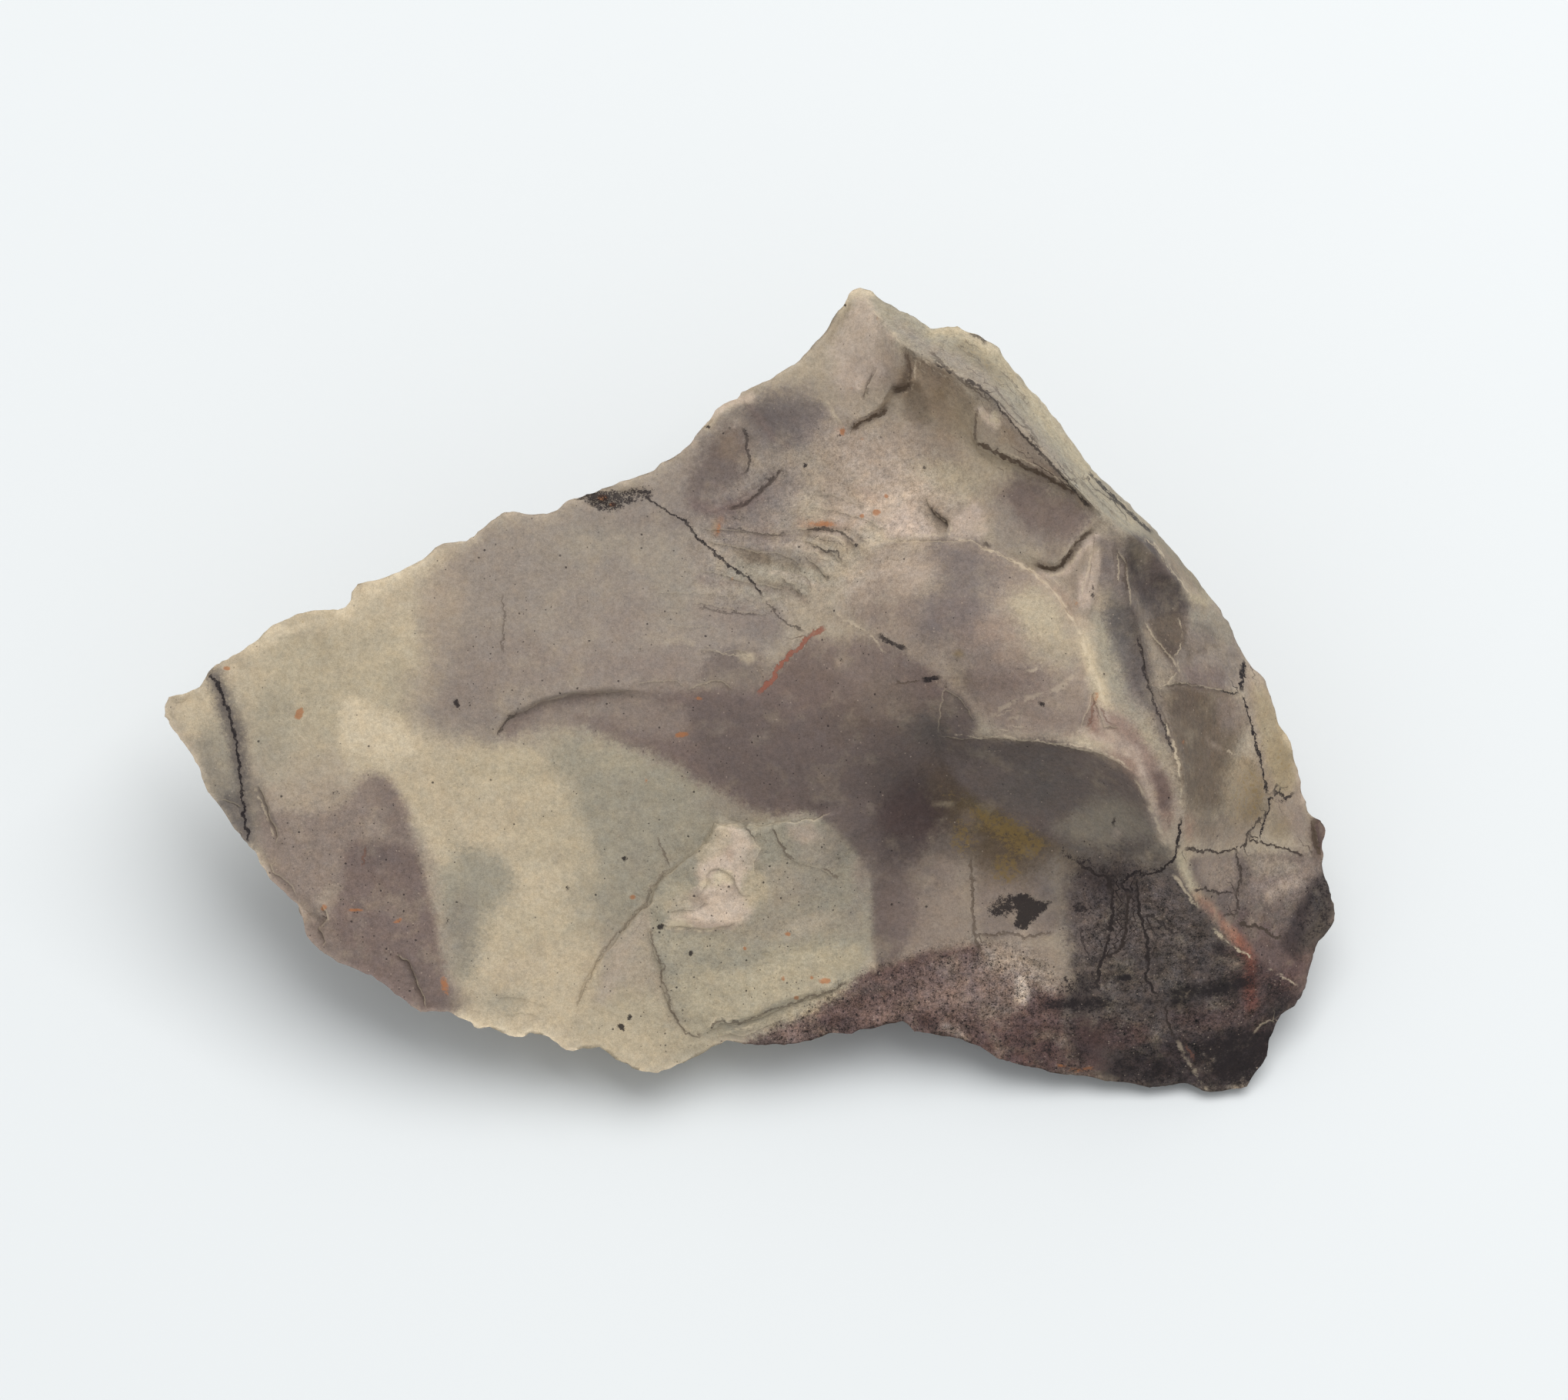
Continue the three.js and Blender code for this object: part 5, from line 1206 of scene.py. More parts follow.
CHIP_SEED = 11
CHIP_STRAY = 0.25  # radii that a chip's middle strays off the rim
CHIP_DEPTHS = (0.5, 1.1)  # least and most share of that depth
INLAND = (0.1, 1.2)  # from the rim
RIM_RELIEF = 0.35  # share of the ledges and grooves that reaches the rim
RIM_ROUGHNESS = 0.3
RIM_KEPT = 5  # longest distance from the rim that is kept
FLAT_SPOT = 0.35  # above the table, up to where the stone stays as it is cut
# soft noises: size of the lumps, seed, layers
JITTER = (0.9, 30, 3)
SWELL = (5.0, 40, 2)
FINE_SWELL = (1.4, 50, 3)
UNDER_SWELL = (3.0, 60, 3)
SWELL_HEIGHT = 0.09
FINE_SWELL_HEIGHT = 0.035
UNDER_SWELL_HEIGHT = 0.1


def ledge_fields(column, row, jitter):
    """Height in mm of the ledges, each place's distance from its nearest riser, and its force."""
    height = np.zeros(len(column))
    away = np.full(len(column), NO_LEDGE)
    force = np.zeros(len(column))
    for rise, reach, points in LEDGE_LINES:
        near, signed, share = beside(points, column, row, LEDGE_REACH[0] * reach / SQUARE)
        distance = signed * SQUARE + WAVER * jitter[near]
        off = np.abs(distance)
        ends = tapered(share, LEDGE_ENDS, LEDGE_ENDS)
        fade = np.exp(-off / reach) * smooth_step(*LEDGE_REACH, off / reach)
        height[near] += 0.5 * rise * np.tanh(distance / RISER) * fade * ends
        closer = off < np.abs(away[near])
        away[near[closer]] = distance[closer]
        mark = ends * smooth_step(*LEDGE_MARK, off) * min(1.0, rise / STRONG_RISE)
        force[near[closer]] = mark[closer]
    return height, away, force


def groove_relief(column, row, jitter):
    """Height in mm, below zero, that the grooves cut."""
    height = np.zeros(len(column))
    for depth, half_width, points in GROOVES:
        near, signed, share = beside(points, column, row, GROOVE_REACH * half_width / SQUARE)
        distance = signed * SQUARE + WAVER * jitter[near]
        side = np.where(distance < 0, half_width * STEEP_SIDE, half_width * GENTLE_SIDE)
        ends = END_DEPTH + (1 - END_DEPTH) * tapered(share, *GROOVE_ENDS)
        height[near] -= depth * np.exp(-(distance / side) ** 2) * ends
    return height


def ripple_relief(column, row, in_mm):
    """Height in mm of the rings that spread from where each flake was struck."""
    height = np.zeros(len(column))
    slower, force = CROWDING
    for number, (middle, spacing, rise, outline) in enumerate(RIPPLES):
        near, depth = depth_inside(outline, column, row, RING_REACH)
        radius = np.hypot(column[near] - middle[0], row[near] - middle[1]) * SQUARE
        radius = radius + RING_WANDER * clouds(in_mm[near], RING_LUMPS[0], RING_LUMPS[1] + number)
        turns = 2 * math.pi * radius / spacing
        wave = np.sin(turns + force * np.sin(turns / slower))
        loud = 0.5 + 0.5 * cloud(in_mm[near], LOUDNESS[0], LOUDNESS[1] + number)
        height[near] += rise * wave * loud * smooth_step(*RING_BORDER, depth)
    return height


def chip_relief(in_mm, rim_places):
    """Depth in mm of the small shell-shaped chips struck or worn out of the rim."""
    draw = np.random.default_rng(CHIP_SEED)
    depth = np.zeros(len(in_mm))
    tree = tree_of(in_mm)
    for count, smallest, largest, steepness in RIM_CHIPS:
        for _ in range(count):
            radius = draw.uniform(smallest, largest)
            middle = rim_places[draw.integers(len(rim_places))] + draw.normal(0, CHIP_STRAY * radius, 3)
            found = tree.find_range(middle, radius)
            if found:
                numbers = [number for _, number, _ in found]
                share = np.array([away for _, _, away in found]) / radius
                hollow = steepness * draw.uniform(*CHIP_DEPTHS) * radius * (1 - share ** 2)
                depth[numbers] = np.maximum(depth[numbers], hollow)
    return depth


def work_surface(stone):
    """Works the ledges, grooves, ripples and chips into the rounded stone.

    Gives each vertex's distance from the rim, and whether it is on the broad face's side.
    """
    mesh = stone.data
    places = rows_of(mesh.vertices, "co")
    in_mm = places / MM
    column, row = grid_places(places)
    on_rim, upper = rim_and_upper(mesh)
    normals = rows_of(mesh.vertex_normals, "vector")
    jitter = clouds(in_mm, *JITTER)
    rim_places = in_mm[on_rim]
    tree = tree_of(rim_places)
    from_rim = np.array([tree.find(place)[2] for place in in_mm])
    inland = smooth_step(*INLAND, from_rim)
    height = np.zeros(len(places))
    face = upper & ~on_rim
    ledges, ledge, ledge_force = ledge_fields(column, row, jitter)
    relief = ledges + groove_relief(column, row, jitter)
    height[face] += (relief * (RIM_RELIEF + (1 - RIM_RELIEF) * inland))[face]
    height[face] += (ripple_relief(column, row, in_mm) * inland)[face]
    height += SWELL_HEIGHT * clouds(in_mm, *SWELL) * inland
    rough = RIM_ROUGHNESS + (1 - RIM_ROUGHNESS) * inland
    height += FINE_SWELL_HEIGHT * clouds(in_mm, *FINE_SWELL) * rough
    height += np.where(upper, 0, UNDER_SWELL_HEIGHT * clouds(in_mm, *UNDER_SWELL) * inland)
    height -= chip_relief(in_mm, rim_places)
    height[in_mm[:, 2] < FLAT_SPOT] = 0
    moved = places + normals * height[:, None] * MM
    mesh.vertices.foreach_set("co", moved.ravel())
    mesh.update()
    keep_number(mesh, "from_rim", np.minimum(from_rim, RIM_KEPT))
    keep_number(mesh, "ledge", np.clip(ledge, -NO_LEDGE, NO_LEDGE))
    keep_number(mesh, "ledge_force", ledge_force * face)
    return from_rim, upper


# ---- The stone's colours ----
LINE_REACH = (1.3, 0.5)  # mm to either side of a line: where it is lost, where it is full
NO_LINE = 2.0  # mm, distance kept where no line is near
SPARE_WIDTH = 0.1  # mm, half width kept there
TAPER = (0.4, 7)  # most share of a line's length, and squares, over which an end dies out
DRIFT = (3.2, 100, 110)  # mm and seeds of the slow wander of the washes' borders
FRAY = (0.9, 120, 130)  # mm and seeds of their quick wander
LIMITS = ((0.4, 10), (0.22, 3.5), (0.35, 6))  # softnesses and most squares of both, and of the shift
UNDER_REACH = 6  # mm from the rim over which the underside's colours come to wander
UNDER_WANDER = 90  # squares
UNDER_LUMPS = (16, 200, 210)  # mm and seeds of that wander
BORDER = (0.85, 1)  # softnesses and squares, which add up to the half width of a wash's border
WASH_TURNS = {"wash_a": 90, "wash_b": 210, "wash_c": 330}


def to_linear(pigment):
    """A pigment as linear red, green and blue."""
    value = np.array(PIGMENTS[pigment]) / 255
    return np.where(value <= 0.04045, value / 12.92, ((value + 0.055) / 1.055) ** 2.4)


def wash_cover(shape, softness, column, row):
    """Numbers of the places that a wash reaches, and its cover there from 0 to 1."""
    kind, sizes = shape
    if kind == "blob":
        x, y, half_length, half_height, turn = sizes
        dx = (column - x) * math.cos(turn) + (row - y) * math.sin(turn)
        dy = (row - y) * math.cos(turn) - (column - x) * math.sin(turn)
        reach = max(half_length, half_height) + 2 * softness
        near = np.flatnonzero((np.abs(dx) < reach) & (np.abs(dy) < reach))
        round_about = np.hypot(dx[near] / half_length, dy[near] / half_height)
        depth = (1 - round_about) * min(half_length, half_height)
    elif kind == "stroke":
        half_width, points = sizes
        near, signed, _ = beside(points, column, row, half_width + softness)
        depth = half_width - np.abs(signed)
    else:
        near, depth = depth_inside(sizes, column, row, softness, rounded=kind == "patch")
    return near, smooth_step(-softness, softness, depth)


def lay_washes(in_mm, column, row, turn):
    """The mixed pigment of each place, as linear red, green and blue.

    The borders of the soft washes are moved a little in the direction of turn, in degrees.
    """
    drift = [clouds(in_mm, DRIFT[0], seed, 3) for seed in DRIFT[1:]]
    ragged = [clouds(in_mm, FRAY[0], seed, 2) for seed in FRAY[1:]]
    aside = math.cos(math.radians(turn))
    down = math.sin(math.radians(turn))
    mixed = np.tile(to_linear(BASE_PIGMENT), (len(column), 1))
    for pigment, cover, softness, shape in WASHES:
        wander, fray, shift = [min(share * softness, most) for share, most in LIMITS]
        x = column + wander * drift[0] + fray * ragged[0] + shift * aside
        y = row + wander * drift[1] + fray * ragged[1] + shift * down
        near, share = wash_cover(shape, BORDER[0] * softness + BORDER[1], x, y)
        share = (share * cover)[:, None]
        mixed[near] = mixed[near] * (1 - share) + to_linear(pigment) * share
    return mixed


def line_fields(lines, column, row, upper):
    """For each place: its nearest line's distance and half width in mm, its force and tone."""
    count = len(column)
    distance = np.full(count, NO_LINE)
    width = np.full(count, SPARE_WIDTH)
    force = np.zeros(count)
    tone = np.zeros(count)
    for half_width, strength, hue, points in lines:
        near, signed, share = beside(points, column, row, LINE_REACH[0] / SQUARE)
        signed = signed * SQUARE
        closer = upper[near] & (np.abs(signed) < np.abs(distance[near]))
        near, signed, share = near[closer], signed[closer], share[closer]
        distance[near] = signed
        width[near] = half_width
        length = np.hypot(*np.diff(np.array(points, float), axis=0).T).sum()
        taper = min(TAPER[0], TAPER[1] / length)
        force[near] = strength * tapered(share, taper, taper) * smooth_step(*LINE_REACH, np.abs(signed))
        tone[near] = hue
    return {"": distance, "_width": width, "_force": force, "_tone": tone}


# black manganese, broken up by the material: (cover, softness in squares, shapes)
SOOT_PATCHES = [
    (0.85, 16, stroke(11, 1368,1306, 1440,1304)),
    (0.6, 18, stroke(10, 1430,1300, 1480,1304, 1520,1302)),
    (0.8, 16, stroke(13, 1520,1296, 1570,1288, 1620,1274)),
    (0.75, 26, patch(1545,1345, 1660,1325, 1680,1340, 1640,1425, 1560,1410)),
    (0.62, 26, patch(1430,1362, 1500,1368, 1560,1380, 1540,1420, 1440,1412)),
    (0.6, 20, blob(1665,1305, 30,18, -30)),
    (0.5, 26, patch(1310,1330, 1400,1336, 1430,1400, 1320,1380)),
    (0.5, 16, patch(1725,1118, 1745,1190, 1700,1240, 1660,1235, 1690,1160)),
    (0.5, 14, blob(1585,1238, 12,14)),
    (0.45, 30, blob(1440,1150, 60,34)),
    (0.4, 24, blob(1500,1255, 80,24)),
    (0.98, 5, patch(1316,1162, 1338,1160, 1348,1172, 1372,1170, 1342,1198, 1334,1212, 1312,1206,
     1324,1188)),
    (0.8, 7, patch(1278,1182, 1290,1168, 1316,1160, 1326,1172, 1318,1190, 1294,1196)),
    (0.95, 5, blob(1463,1271, 12,5)),
    (0.7, 7, blob(1404,1180, 10,12)),
    (0.55, 12, blob(1398,1116, 36,10, 20)),
    (0.5, 12, blob(1172,1284, 60,7, -6)),
    (0.5, 9, blob(1190,1335, 30,9, 10)),
    (0.55, 12, patch(1370,1268, 1420,1254, 1440,1290, 1400,1302, 1368,1298)),
    (0.5, 8, patch(1180,1320, 1216,1322, 1222,1340, 1204,1348)),
    (0.5, 6, blob(1585,1234, 14,10, 30)),
    (0.45, 10, blob(1715,1160, 12,30, 10)),
    (0.5, 4, blob(1664,1040, 12,5, 20)),
    (0.72, 7, patch(744,642, 775,634, 800,638, 834,630, 856,638, 842,654, 815,658, 800,668, 776,666)),
    (0.9, 3, blob(593,914, 4,7, -20), blob(858,1205, 5,4), blob(807,1335, 6,4, 30)),
    (0.6, 3, blob(611,916, 2,6), blob(948,557, 3,3), blob(1202,607, 3,4), blob(1064,937, 3,3)),
    (0.8, 3, blob(738,1155, 3,4), blob(1046,605, 4,4)),
    (0.85, 3, blob(898,1239, 3,4), blob(818,1323, 3,4)),
    (0.7, 3, blob(812,1116, 4,4), blob(1354,916, 6,4, 30)),
    (0.6, 5, blob(381,1046, 6,5), blob(1420,770, 4,16)),
    (0.5, 5, blob(435,1030, 7,5), blob(581,1196, 5,6), blob(1242,860, 14,4, -30)),
    (0.75, 3, blob(920,555, 4,3)),
    (0.55, 3, blob(1093,858, 3,4)),
    (0.75, 4, blob(1113,709, 6,4, 30)),
]
# rust flecks: (cover, softness in squares, shapes)
RUST_FLECKS = [
    (0.8, 4, blob(389,928, 5,9, 25), blob(886,955, 9,4, -10), blob(1139,666, 6,4), blob(1072,1275, 8,4)),
    (0.8, 3, blob(295,869, 5,3), blob(462,1183, 11,2), blob(1152,645, 3,3), blob(796,656, 5,3),
     blob(1024,1214, 4,3)),
    (0.75, 6, blob(578,1281, 5,14, -10)),
    (0.6, 3, blob(518,1197, 9,3, -20), blob(908,908, 6,3), blob(1121,570, 5,2), blob(821,1167, 4,3),
     blob(1018,1272, 3,4)),
    (0.6, 4, blob(421,1180, 5,5), blob(934,688, 3,10, 10)),
    (0.75, 3, blob(1120,671, 4,3)),
    (0.7, 4, blob(1095,561, 4,6)),
    (0.7, 5, blob(1070,681, 20,4)),
    (0.7, 3, blob(1055,1271, 3,3), blob(823,1166, 4,3), blob(968,1233, 3,3), blob(1035,1297, 4,3)),
    (0.5, 4, blob(840,1015, 3,5), blob(1538,965, 3,4)),
    (0.5, 3, blob(1140,414, 3,3), blob(952,752, 3,4)),
    (0.45, 6, blob(1108,505, 8,4)),
    (0.9, 4, blob(783,647, 7,4)),
    (0.6, 4, stroke(3, 1376,1385, 1400,1392, 1420,1388)),
    (0.5, 6, blob(1425,905, 5,12, 10)),
    (0.4, 5, blob(1400,785, 5,12, -30)),
]
# ochre stain, broken up by the material: (cover, softness in squares, shapes)
OCHRE_PATCHES = [
    (0.75, 20, patch(1240,1044, 1300,1050, 1345,1074, 1372,1098, 1350,1118, 1316,1120, 1290,1092)),
    (0.65, 12, blob(1306,1130, 22,24)),
    (0.6, 14, blob(1252,1088, 20,30)),
    (0.5, 14, blob(1236,1036, 26,10, 30)),
    (0.5, 14, patch(1600,1000, 1640,990, 1650,1040, 1636,1076, 1596,1066)),
    (0.5, 12, blob(1668,985, 12,34, -10)),
    (0.45, 10, blob(1662,1076, 12,12), blob(1245,848, 9,6)),
    (0.45, 8, stroke(7, 1252,450, 1280,470, 1302,494)),
    (0.4, 10, stroke(6, 1510,705, 1566,772)),
    (0.4, 12, blob(1140,912, 14,10)),
    (0.4, 8, blob(395,806, 30,6, -14)),
    (0.35, 10, blob(422,842, 10,14), blob(1712,1172, 10,26, 20)),
]
MAROON_FOOT = patch(960,1358, 1040,1318, 1120,1262, 1260,1225, 1340,1230, 1392,1290, 1440,1420, 1290,1390,
                    1190,1350, 1050,1366)
LEFT_FOOT = patch(330,1020, 540,1040, 600,1320, 400,1240)
# pepper: where dark pinpoints are scattered: (cover, softness in squares, shapes)
PEPPER_PATCHES = [
    (1.0, 16, MAROON_FOOT),
    (0.5, 30, patch(1380,1130, 1560,1130, 1680,1240, 1640,1420, 1430,1410)),
    (0.16, 50, LEFT_FOOT),
    (0.12, 60, patch(850,1080, 1120,1080, 1130,1250, 900,1360, 760,1360)),
    (0.05, 80, patch(560,700, 900,640, 1240,860, 1200,1100, 900,1000, 600,950)),
]
# where the fine mottling is stronger: (cover, softness in squares, shapes)
MOTTLE_PATCHES = [
    (1.2, 20, MAROON_FOOT),
    (1.3, 26, patch(1380,1130, 1500,1120, 1560,1190, 1640,1260, 1700,1270, 1640,1430, 1430,1410)),
    (0.45, 20, patch(1560,1110, 1740,1110, 1740,1240, 1700,1260, 1620,1230)),
    (0.12, 40, LEFT_FOOT),
    (0.1, 30, patch(850,1080, 1120,1060, 1130,1250, 900,1360, 800,1300)),
    (0.08, 40, patch(1080,700, 1300,700, 1440,900, 1200,960, 1080,800)),
    (0.3, 40, patch(900,640, 1120,520, 1300,640, 1120,790, 900,800)),
    (0.16, 40, patch(1420,700, 1560,760, 1700,1060, 1540,1100, 1460,960)),
    (0.2, 20, patch(1120,380, 1300,440, 1500,680, 1440,700, 1280,540, 1150,450)),
]
DOT_LIMIT = 13  # squares, half length under which a blob gets a finer mesh
HALF_DOT = 3


def small_dots(patches):
    """Short lines through the middles of the small blobs."""
    blobs = [sizes for _, _, *shapes in patches for kind, sizes in shapes if kind == "blob"]
    return [
        [(x - HALF_DOT, y), (x + HALF_DOT, y)]
        for x, y, half_length, half_height, _ in blobs
        if max(half_length, half_height) < DOT_LIMIT
    ]


def patch_field(patches, column, row):
    """The strongest cover of the patches at each place."""
    field = np.zeros(len(column))
    for cover, softness, *shapes in patches:
        for shape in shapes:
            near, share = wash_cover(shape, softness, column, row)
            field[near] = np.maximum(field[near], cover * share)
    return field


def colour_stone(stone, from_rim, upper):
    """Keeps the washes, seams, glints and specks on the stone's vertices for its material."""
    mesh = stone.data
    places = rows_of(mesh.vertices, "co")
    in_mm = places / MM
    column, row = grid_places(places)
    # the colours run on through the stone, and wander as they do
    wander = np.where(upper, 0, 1 - np.exp(-from_rim / UNDER_REACH)) * UNDER_WANDER
    lumps, aside, down = UNDER_LUMPS
    column = column + wander * cloud(in_mm, lumps, aside)
    row = row + wander * cloud(in_mm, lumps, down)
    for name, turn in WASH_TURNS.items():
        mixed = lay_washes(in_mm, column, row, turn)
        colour = mesh.attributes.new(name, "FLOAT_COLOR", "POINT")
        colour.data.foreach_set("color", np.column_stack([mixed, np.ones(len(mixed))]).ravel())
    for name, lines in (("seam", SEAMS_AND_SHADE_LINES), ("glint", GLINTS)):
        for ending, values in line_fields(lines, column, row, upper).items():
            keep_number(mesh, name + ending, values)
    keep_number(mesh, "soot", patch_field(SOOT_PATCHES, column, row))
    keep_number(mesh, "rust", patch_field(RUST_FLECKS, column, row) * upper)
    keep_number(mesh, "ochre", patch_field(OCHRE_PATCHES, column, row))
    keep_number(mesh, "pepper", patch_field(PEPPER_PATCHES, column, row))
    keep_number(mesh, "mottle", patch_field(MOTTLE_PATCHES, column, row))


# ---- The material ----
class Board:
    """A node tree to which nodes are added one call at a time."""

    def __init__(self, tree):
        self.tree = tree

    def node(self, kind, settings=None, **sockets):
        """Adds a node: its settings first, then the values or links of its sockets."""
        made = self.tree.nodes.new(kind)
        for name, value in (settings or {}).items():
            setattr(made, name, value)
        for name, value in sockets.items():
            where = int(name[1:]) if name[0] == "_" else name.replace("_", " ")
            socket = made.inputs[where]
            if isinstance(value, Wire):
                self.tree.links.new(value.socket, socket)
            else:
                socket.default_value = value
        return made

    def wire(self, kind, output, settings=None, **sockets):
        """Adds a node and gives one of its outputs."""
        return Wire(self, self.node(kind, settings, **sockets).outputs[output])

    def number(self, name):
        """A number kept on the stone's vertices."""
        return self.wire("ShaderNodeAttribute", "Fac", {"attribute_name": name})

    def colour(self, name):
        """A colour kept on the stone's vertices."""
        return self.wire("ShaderNodeAttribute", "Color", {"attribute_name": name})

    def step(self, low, high, value):
        """0 at low, 1 at high and an even curve between them."""
        return self.wire(
            "ShaderNodeMapRange", "Result", {"interpolation_type": "SMOOTHSTEP"},
            Value=value, From_Min=low, From_Max=high,
        )

    def mix(self, share, under, over, blend="MIX"):
        """One colour laid over another by a share."""
        settings = {"data_type": "RGBA", "blend_type": blend}
        return self.wire("ShaderNodeMix", 2, settings, _0=share, _6=under, _7=over)

    def noise(self, places, scale, detail, roughness):
        """Noise from 0 to 1 with so many lumps to the mm."""
        return self.wire(
            "ShaderNodeTexNoise", "Fac", Vector=places, Scale=scale, Detail=detail, Roughness=roughness
        )

    def cells(self, places, scale):
        """How far the nearest of many scattered points is, and a number drawn for that point."""
        made = self.node("ShaderNodeTexVoronoi", Vector=places, Scale=scale)
        drawn = self.wire("ShaderNodeSeparateColor", 0, Color=Wire(self, made.outputs["Color"]))
        return Wire(self, made.outputs["Distance"]), drawn


class Wire:
    """A socket that takes part in sums: each sum adds its Math node."""

    def __init__(self, board, socket):
        self.board = board
        self.socket = socket

    def maths(self, operation, first, second=0.0):
        """Adds the node of one sum."""
        return self.board.wire("ShaderNodeMath", 0, {"operation": operation}, _0=first, _1=second)

    def __add__(self, other):
        return self.maths("ADD", self, other)

    def __radd__(self, other):
        return self.maths("ADD", other, self)

    def __sub__(self, other):
        return self.maths("SUBTRACT", self, other)

    def __rsub__(self, other):
        return self.maths("SUBTRACT", other, self)

    def __mul__(self, other):
        return self.maths("MULTIPLY", self, other)

    def __rmul__(self, other):
        return self.maths("MULTIPLY", other, self)

    def __abs__(self):
        return self.maths("ABSOLUTE", self)


def paint(pigment):
    """A pigment as a colour of the material."""
    return (*to_linear(pigment), 1.0)


# noises: lumps to the mm, detail and roughness
NOISES = {"middle": (1.3, 4, 0.6), "fine": (4.5, 3, 0.6), "grain": (11.0, 2, 0.6)}
LUMPS = (2.4, 2, 0.5)
CLUMPS = (0.6, 8, 0.92)
BROAD = (0.35, 4, 0.6)
FIRST_PICK = (3.1, 5, 0.7)
SECOND_PICK = (3.7, 5, 0.7)
WARMTH = (0.9, 6, 0.75)
GLINT_GAPS = (1.1, 3, 0.6)
SEAM_GAPS = (2.0, 4, 0.7)
WARM_TINT = (1.07, 1.0, 0.9, 1)
COOL_TINT = (0.93, 1.0, 1.1, 1)
LARGE_SPECKS = 2.2  # cells to the mm
SMALL_SPECKS = 4.6
ELSEWHERE = (37, 11, 23)  # mm, to a stretch of noise that has nothing to do with the first
BUMP_STRENGTH = 0.8
GLOSS = 0.22


class Jasper(Board):
    """The stone's material. Its colour is laid layer by layer, with a method for each."""

    def __init__(self, tree):
        super().__init__(tree)
        own = self.wire("ShaderNodeTexCoord", "Object")
        self.places = self.wire("ShaderNodeMapping", "Vector", Vector=own, Scale=(1 / MM, 1 / MM, 1 / MM))
        self.elsewhere = self.wire(
            "ShaderNodeMapping", "Vector", Vector=self.places, Location=ELSEWHERE
        )
        self.noises = {name: self.noise(self.places, *sizes) for name, sizes in NOISES.items()}
        self.noises["lumps"] = self.noise(self.elsewhere, *LUMPS)
        self.mottle = self.number("mottle")
        self.ledge_force = self.number("ledge_force")
        self.ragged = self.uneven(fine=1.3, grain=0.8, lumps=1.6)
        self.ledge = self.number("ledge") + 0.1 * self.ragged

    def uneven(self, **strengths):
        """The sum of some of the stone's noises, each about zero and with its own strength."""
        terms = [strength * (self.noises[name] - 0.5) for name, strength in strengths.items()]
        return sum(terms[1:], terms[0])

    def lay(self, share, over):
        """Lays a colour over what is there."""
        self.mixed = self.mix(share, self.mixed, over)

    def brighter(self, value):
        """What is there, so many times as bright."""
        return self.wire("ShaderNodeHueSaturation", 0, Color=self.mixed, Value=value)

    def lay_pigments(self):
        """The washes, broken up at their borders, with larger pale and dark clouds."""
        pick = self.step(0.4, 0.6, self.noise(self.elsewhere, *FIRST_PICK))
        second_pick = self.step(0.48, 0.66, self.noise(self.places, *SECOND_PICK))
        self.mixed = self.mix(pick, self.colour("wash_a"), self.colour("wash_b"))
        self.lay(second_pick, self.colour("wash_c"))
        broad = self.noise(self.places, *BROAD)
        self.lay(self.step(0.5, 0.75, broad) * 0.2, paint("bone"))
        self.lay(self.step(0.5, 0.25, broad) * 0.16, paint("plum"))

    def mottle_pigments(self):
        """Mottling in the pigments, light and dark, warm and cool."""
        small = self.uneven(fine=0.46, grain=0.62)
        large = self.uneven(middle=0.3, lumps=0.34)
        clumps = self.noise(self.elsewhere, *CLUMPS) - 0.5
        value = 0.9 + (1.0 + 2.2 * self.mottle) * small + large + 4.2 * self.mottle * clumps
        self.mixed = self.brighter(value)
        warmth = 0.5 + (1.2 + 1.5 * self.mottle) * (self.noise(self.places, *WARMTH) - 0.5)
        self.mixed = self.mix(1.0, self.mixed, self.mix(warmth, COOL_TINT, WARM_TINT), "MULTIPLY")

    def lay_specks(self):
        """Dark pinpoints in two sizes, pale and rust flecks. Gives the larger pinpoints."""
        pepper = self.number("pepper")
        away, drawn = self.cells(self.places, LARGE_SPECKS)
        away = away + self.uneven(fine=0.25)
        dots = self.step(0.26, 0.12, away) * self.step(0.985, 0.995, drawn + 0.5 * pepper)
        self.lay(dots * 0.8, paint("soot"))
        away, drawn = self.cells(self.elsewhere, SMALL_SPECKS)
        speck = self.step(0.36, 0.16, away + self.uneven(grain=0.3))
        self.lay(speck * self.step(0.98, 1.0, drawn + 0.42 * pepper) * 0.75, paint("soot"))
        self.lay(speck * self.step(0.03, 0.01, drawn - 0.05 * self.mottle) * 0.4, paint("blush"))
        rust = self.step(0.3, 0.6, self.number("rust") + self.uneven(fine=0.7))
        self.lay(rust * 0.75, paint("rust"))
        return dots

    def lay_stains(self):
        """Ochre stain and black manganese, broken up at their borders. Gives the black."""
        ochre = self.number("ochre") + self.uneven(fine=0.9, lumps=0.9, grain=0.5)
        self.lay(self.step(0.4, 0.85, ochre) * 0.75, paint("ochre"))
        soot = self.number("soot") + self.uneven(fine=1.2, middle=1.1, grain=1.0)
        soot = self.step(0.42, 0.75, soot)
        self.lay(soot * 0.92, paint("soot"))
        return soot

    def lay_ledges(self):
        """Painted shade at the ledges' feet and painted highlights on their lips."""
        foot = self.step(-0.55, 0.05, self.ledge) * self.step(0.02, -0.02, self.ledge)
        lip = self.step(-0.01, 0.03, self.ledge) * self.step(0.16, 0.05, self.ledge)
        self.lay(foot * self.ledge_force * 0.22, paint("umber"))
        self.lay(lip * self.ledge_force * 0.35, paint("ivory"))

    def lay_glints(self):
        """Painted highlights along the crests, lips and edges, partly pale bruised stone."""
        width = self.number("glint_width")
        away = abs(self.number("glint") + 0.16 * self.ragged + self.uneven(middle=0.7))
        broken = self.step(0.4, 0.56, self.noise(self.elsewhere, *GLINT_GAPS))
        glint = self.step(width * 1.5, width * 0.4, away) * self.number("glint_force") * broken
        pale = self.mix(self.number("glint_tone"), paint("ivory"), paint("blush"))
        self.lay(glint, pale)

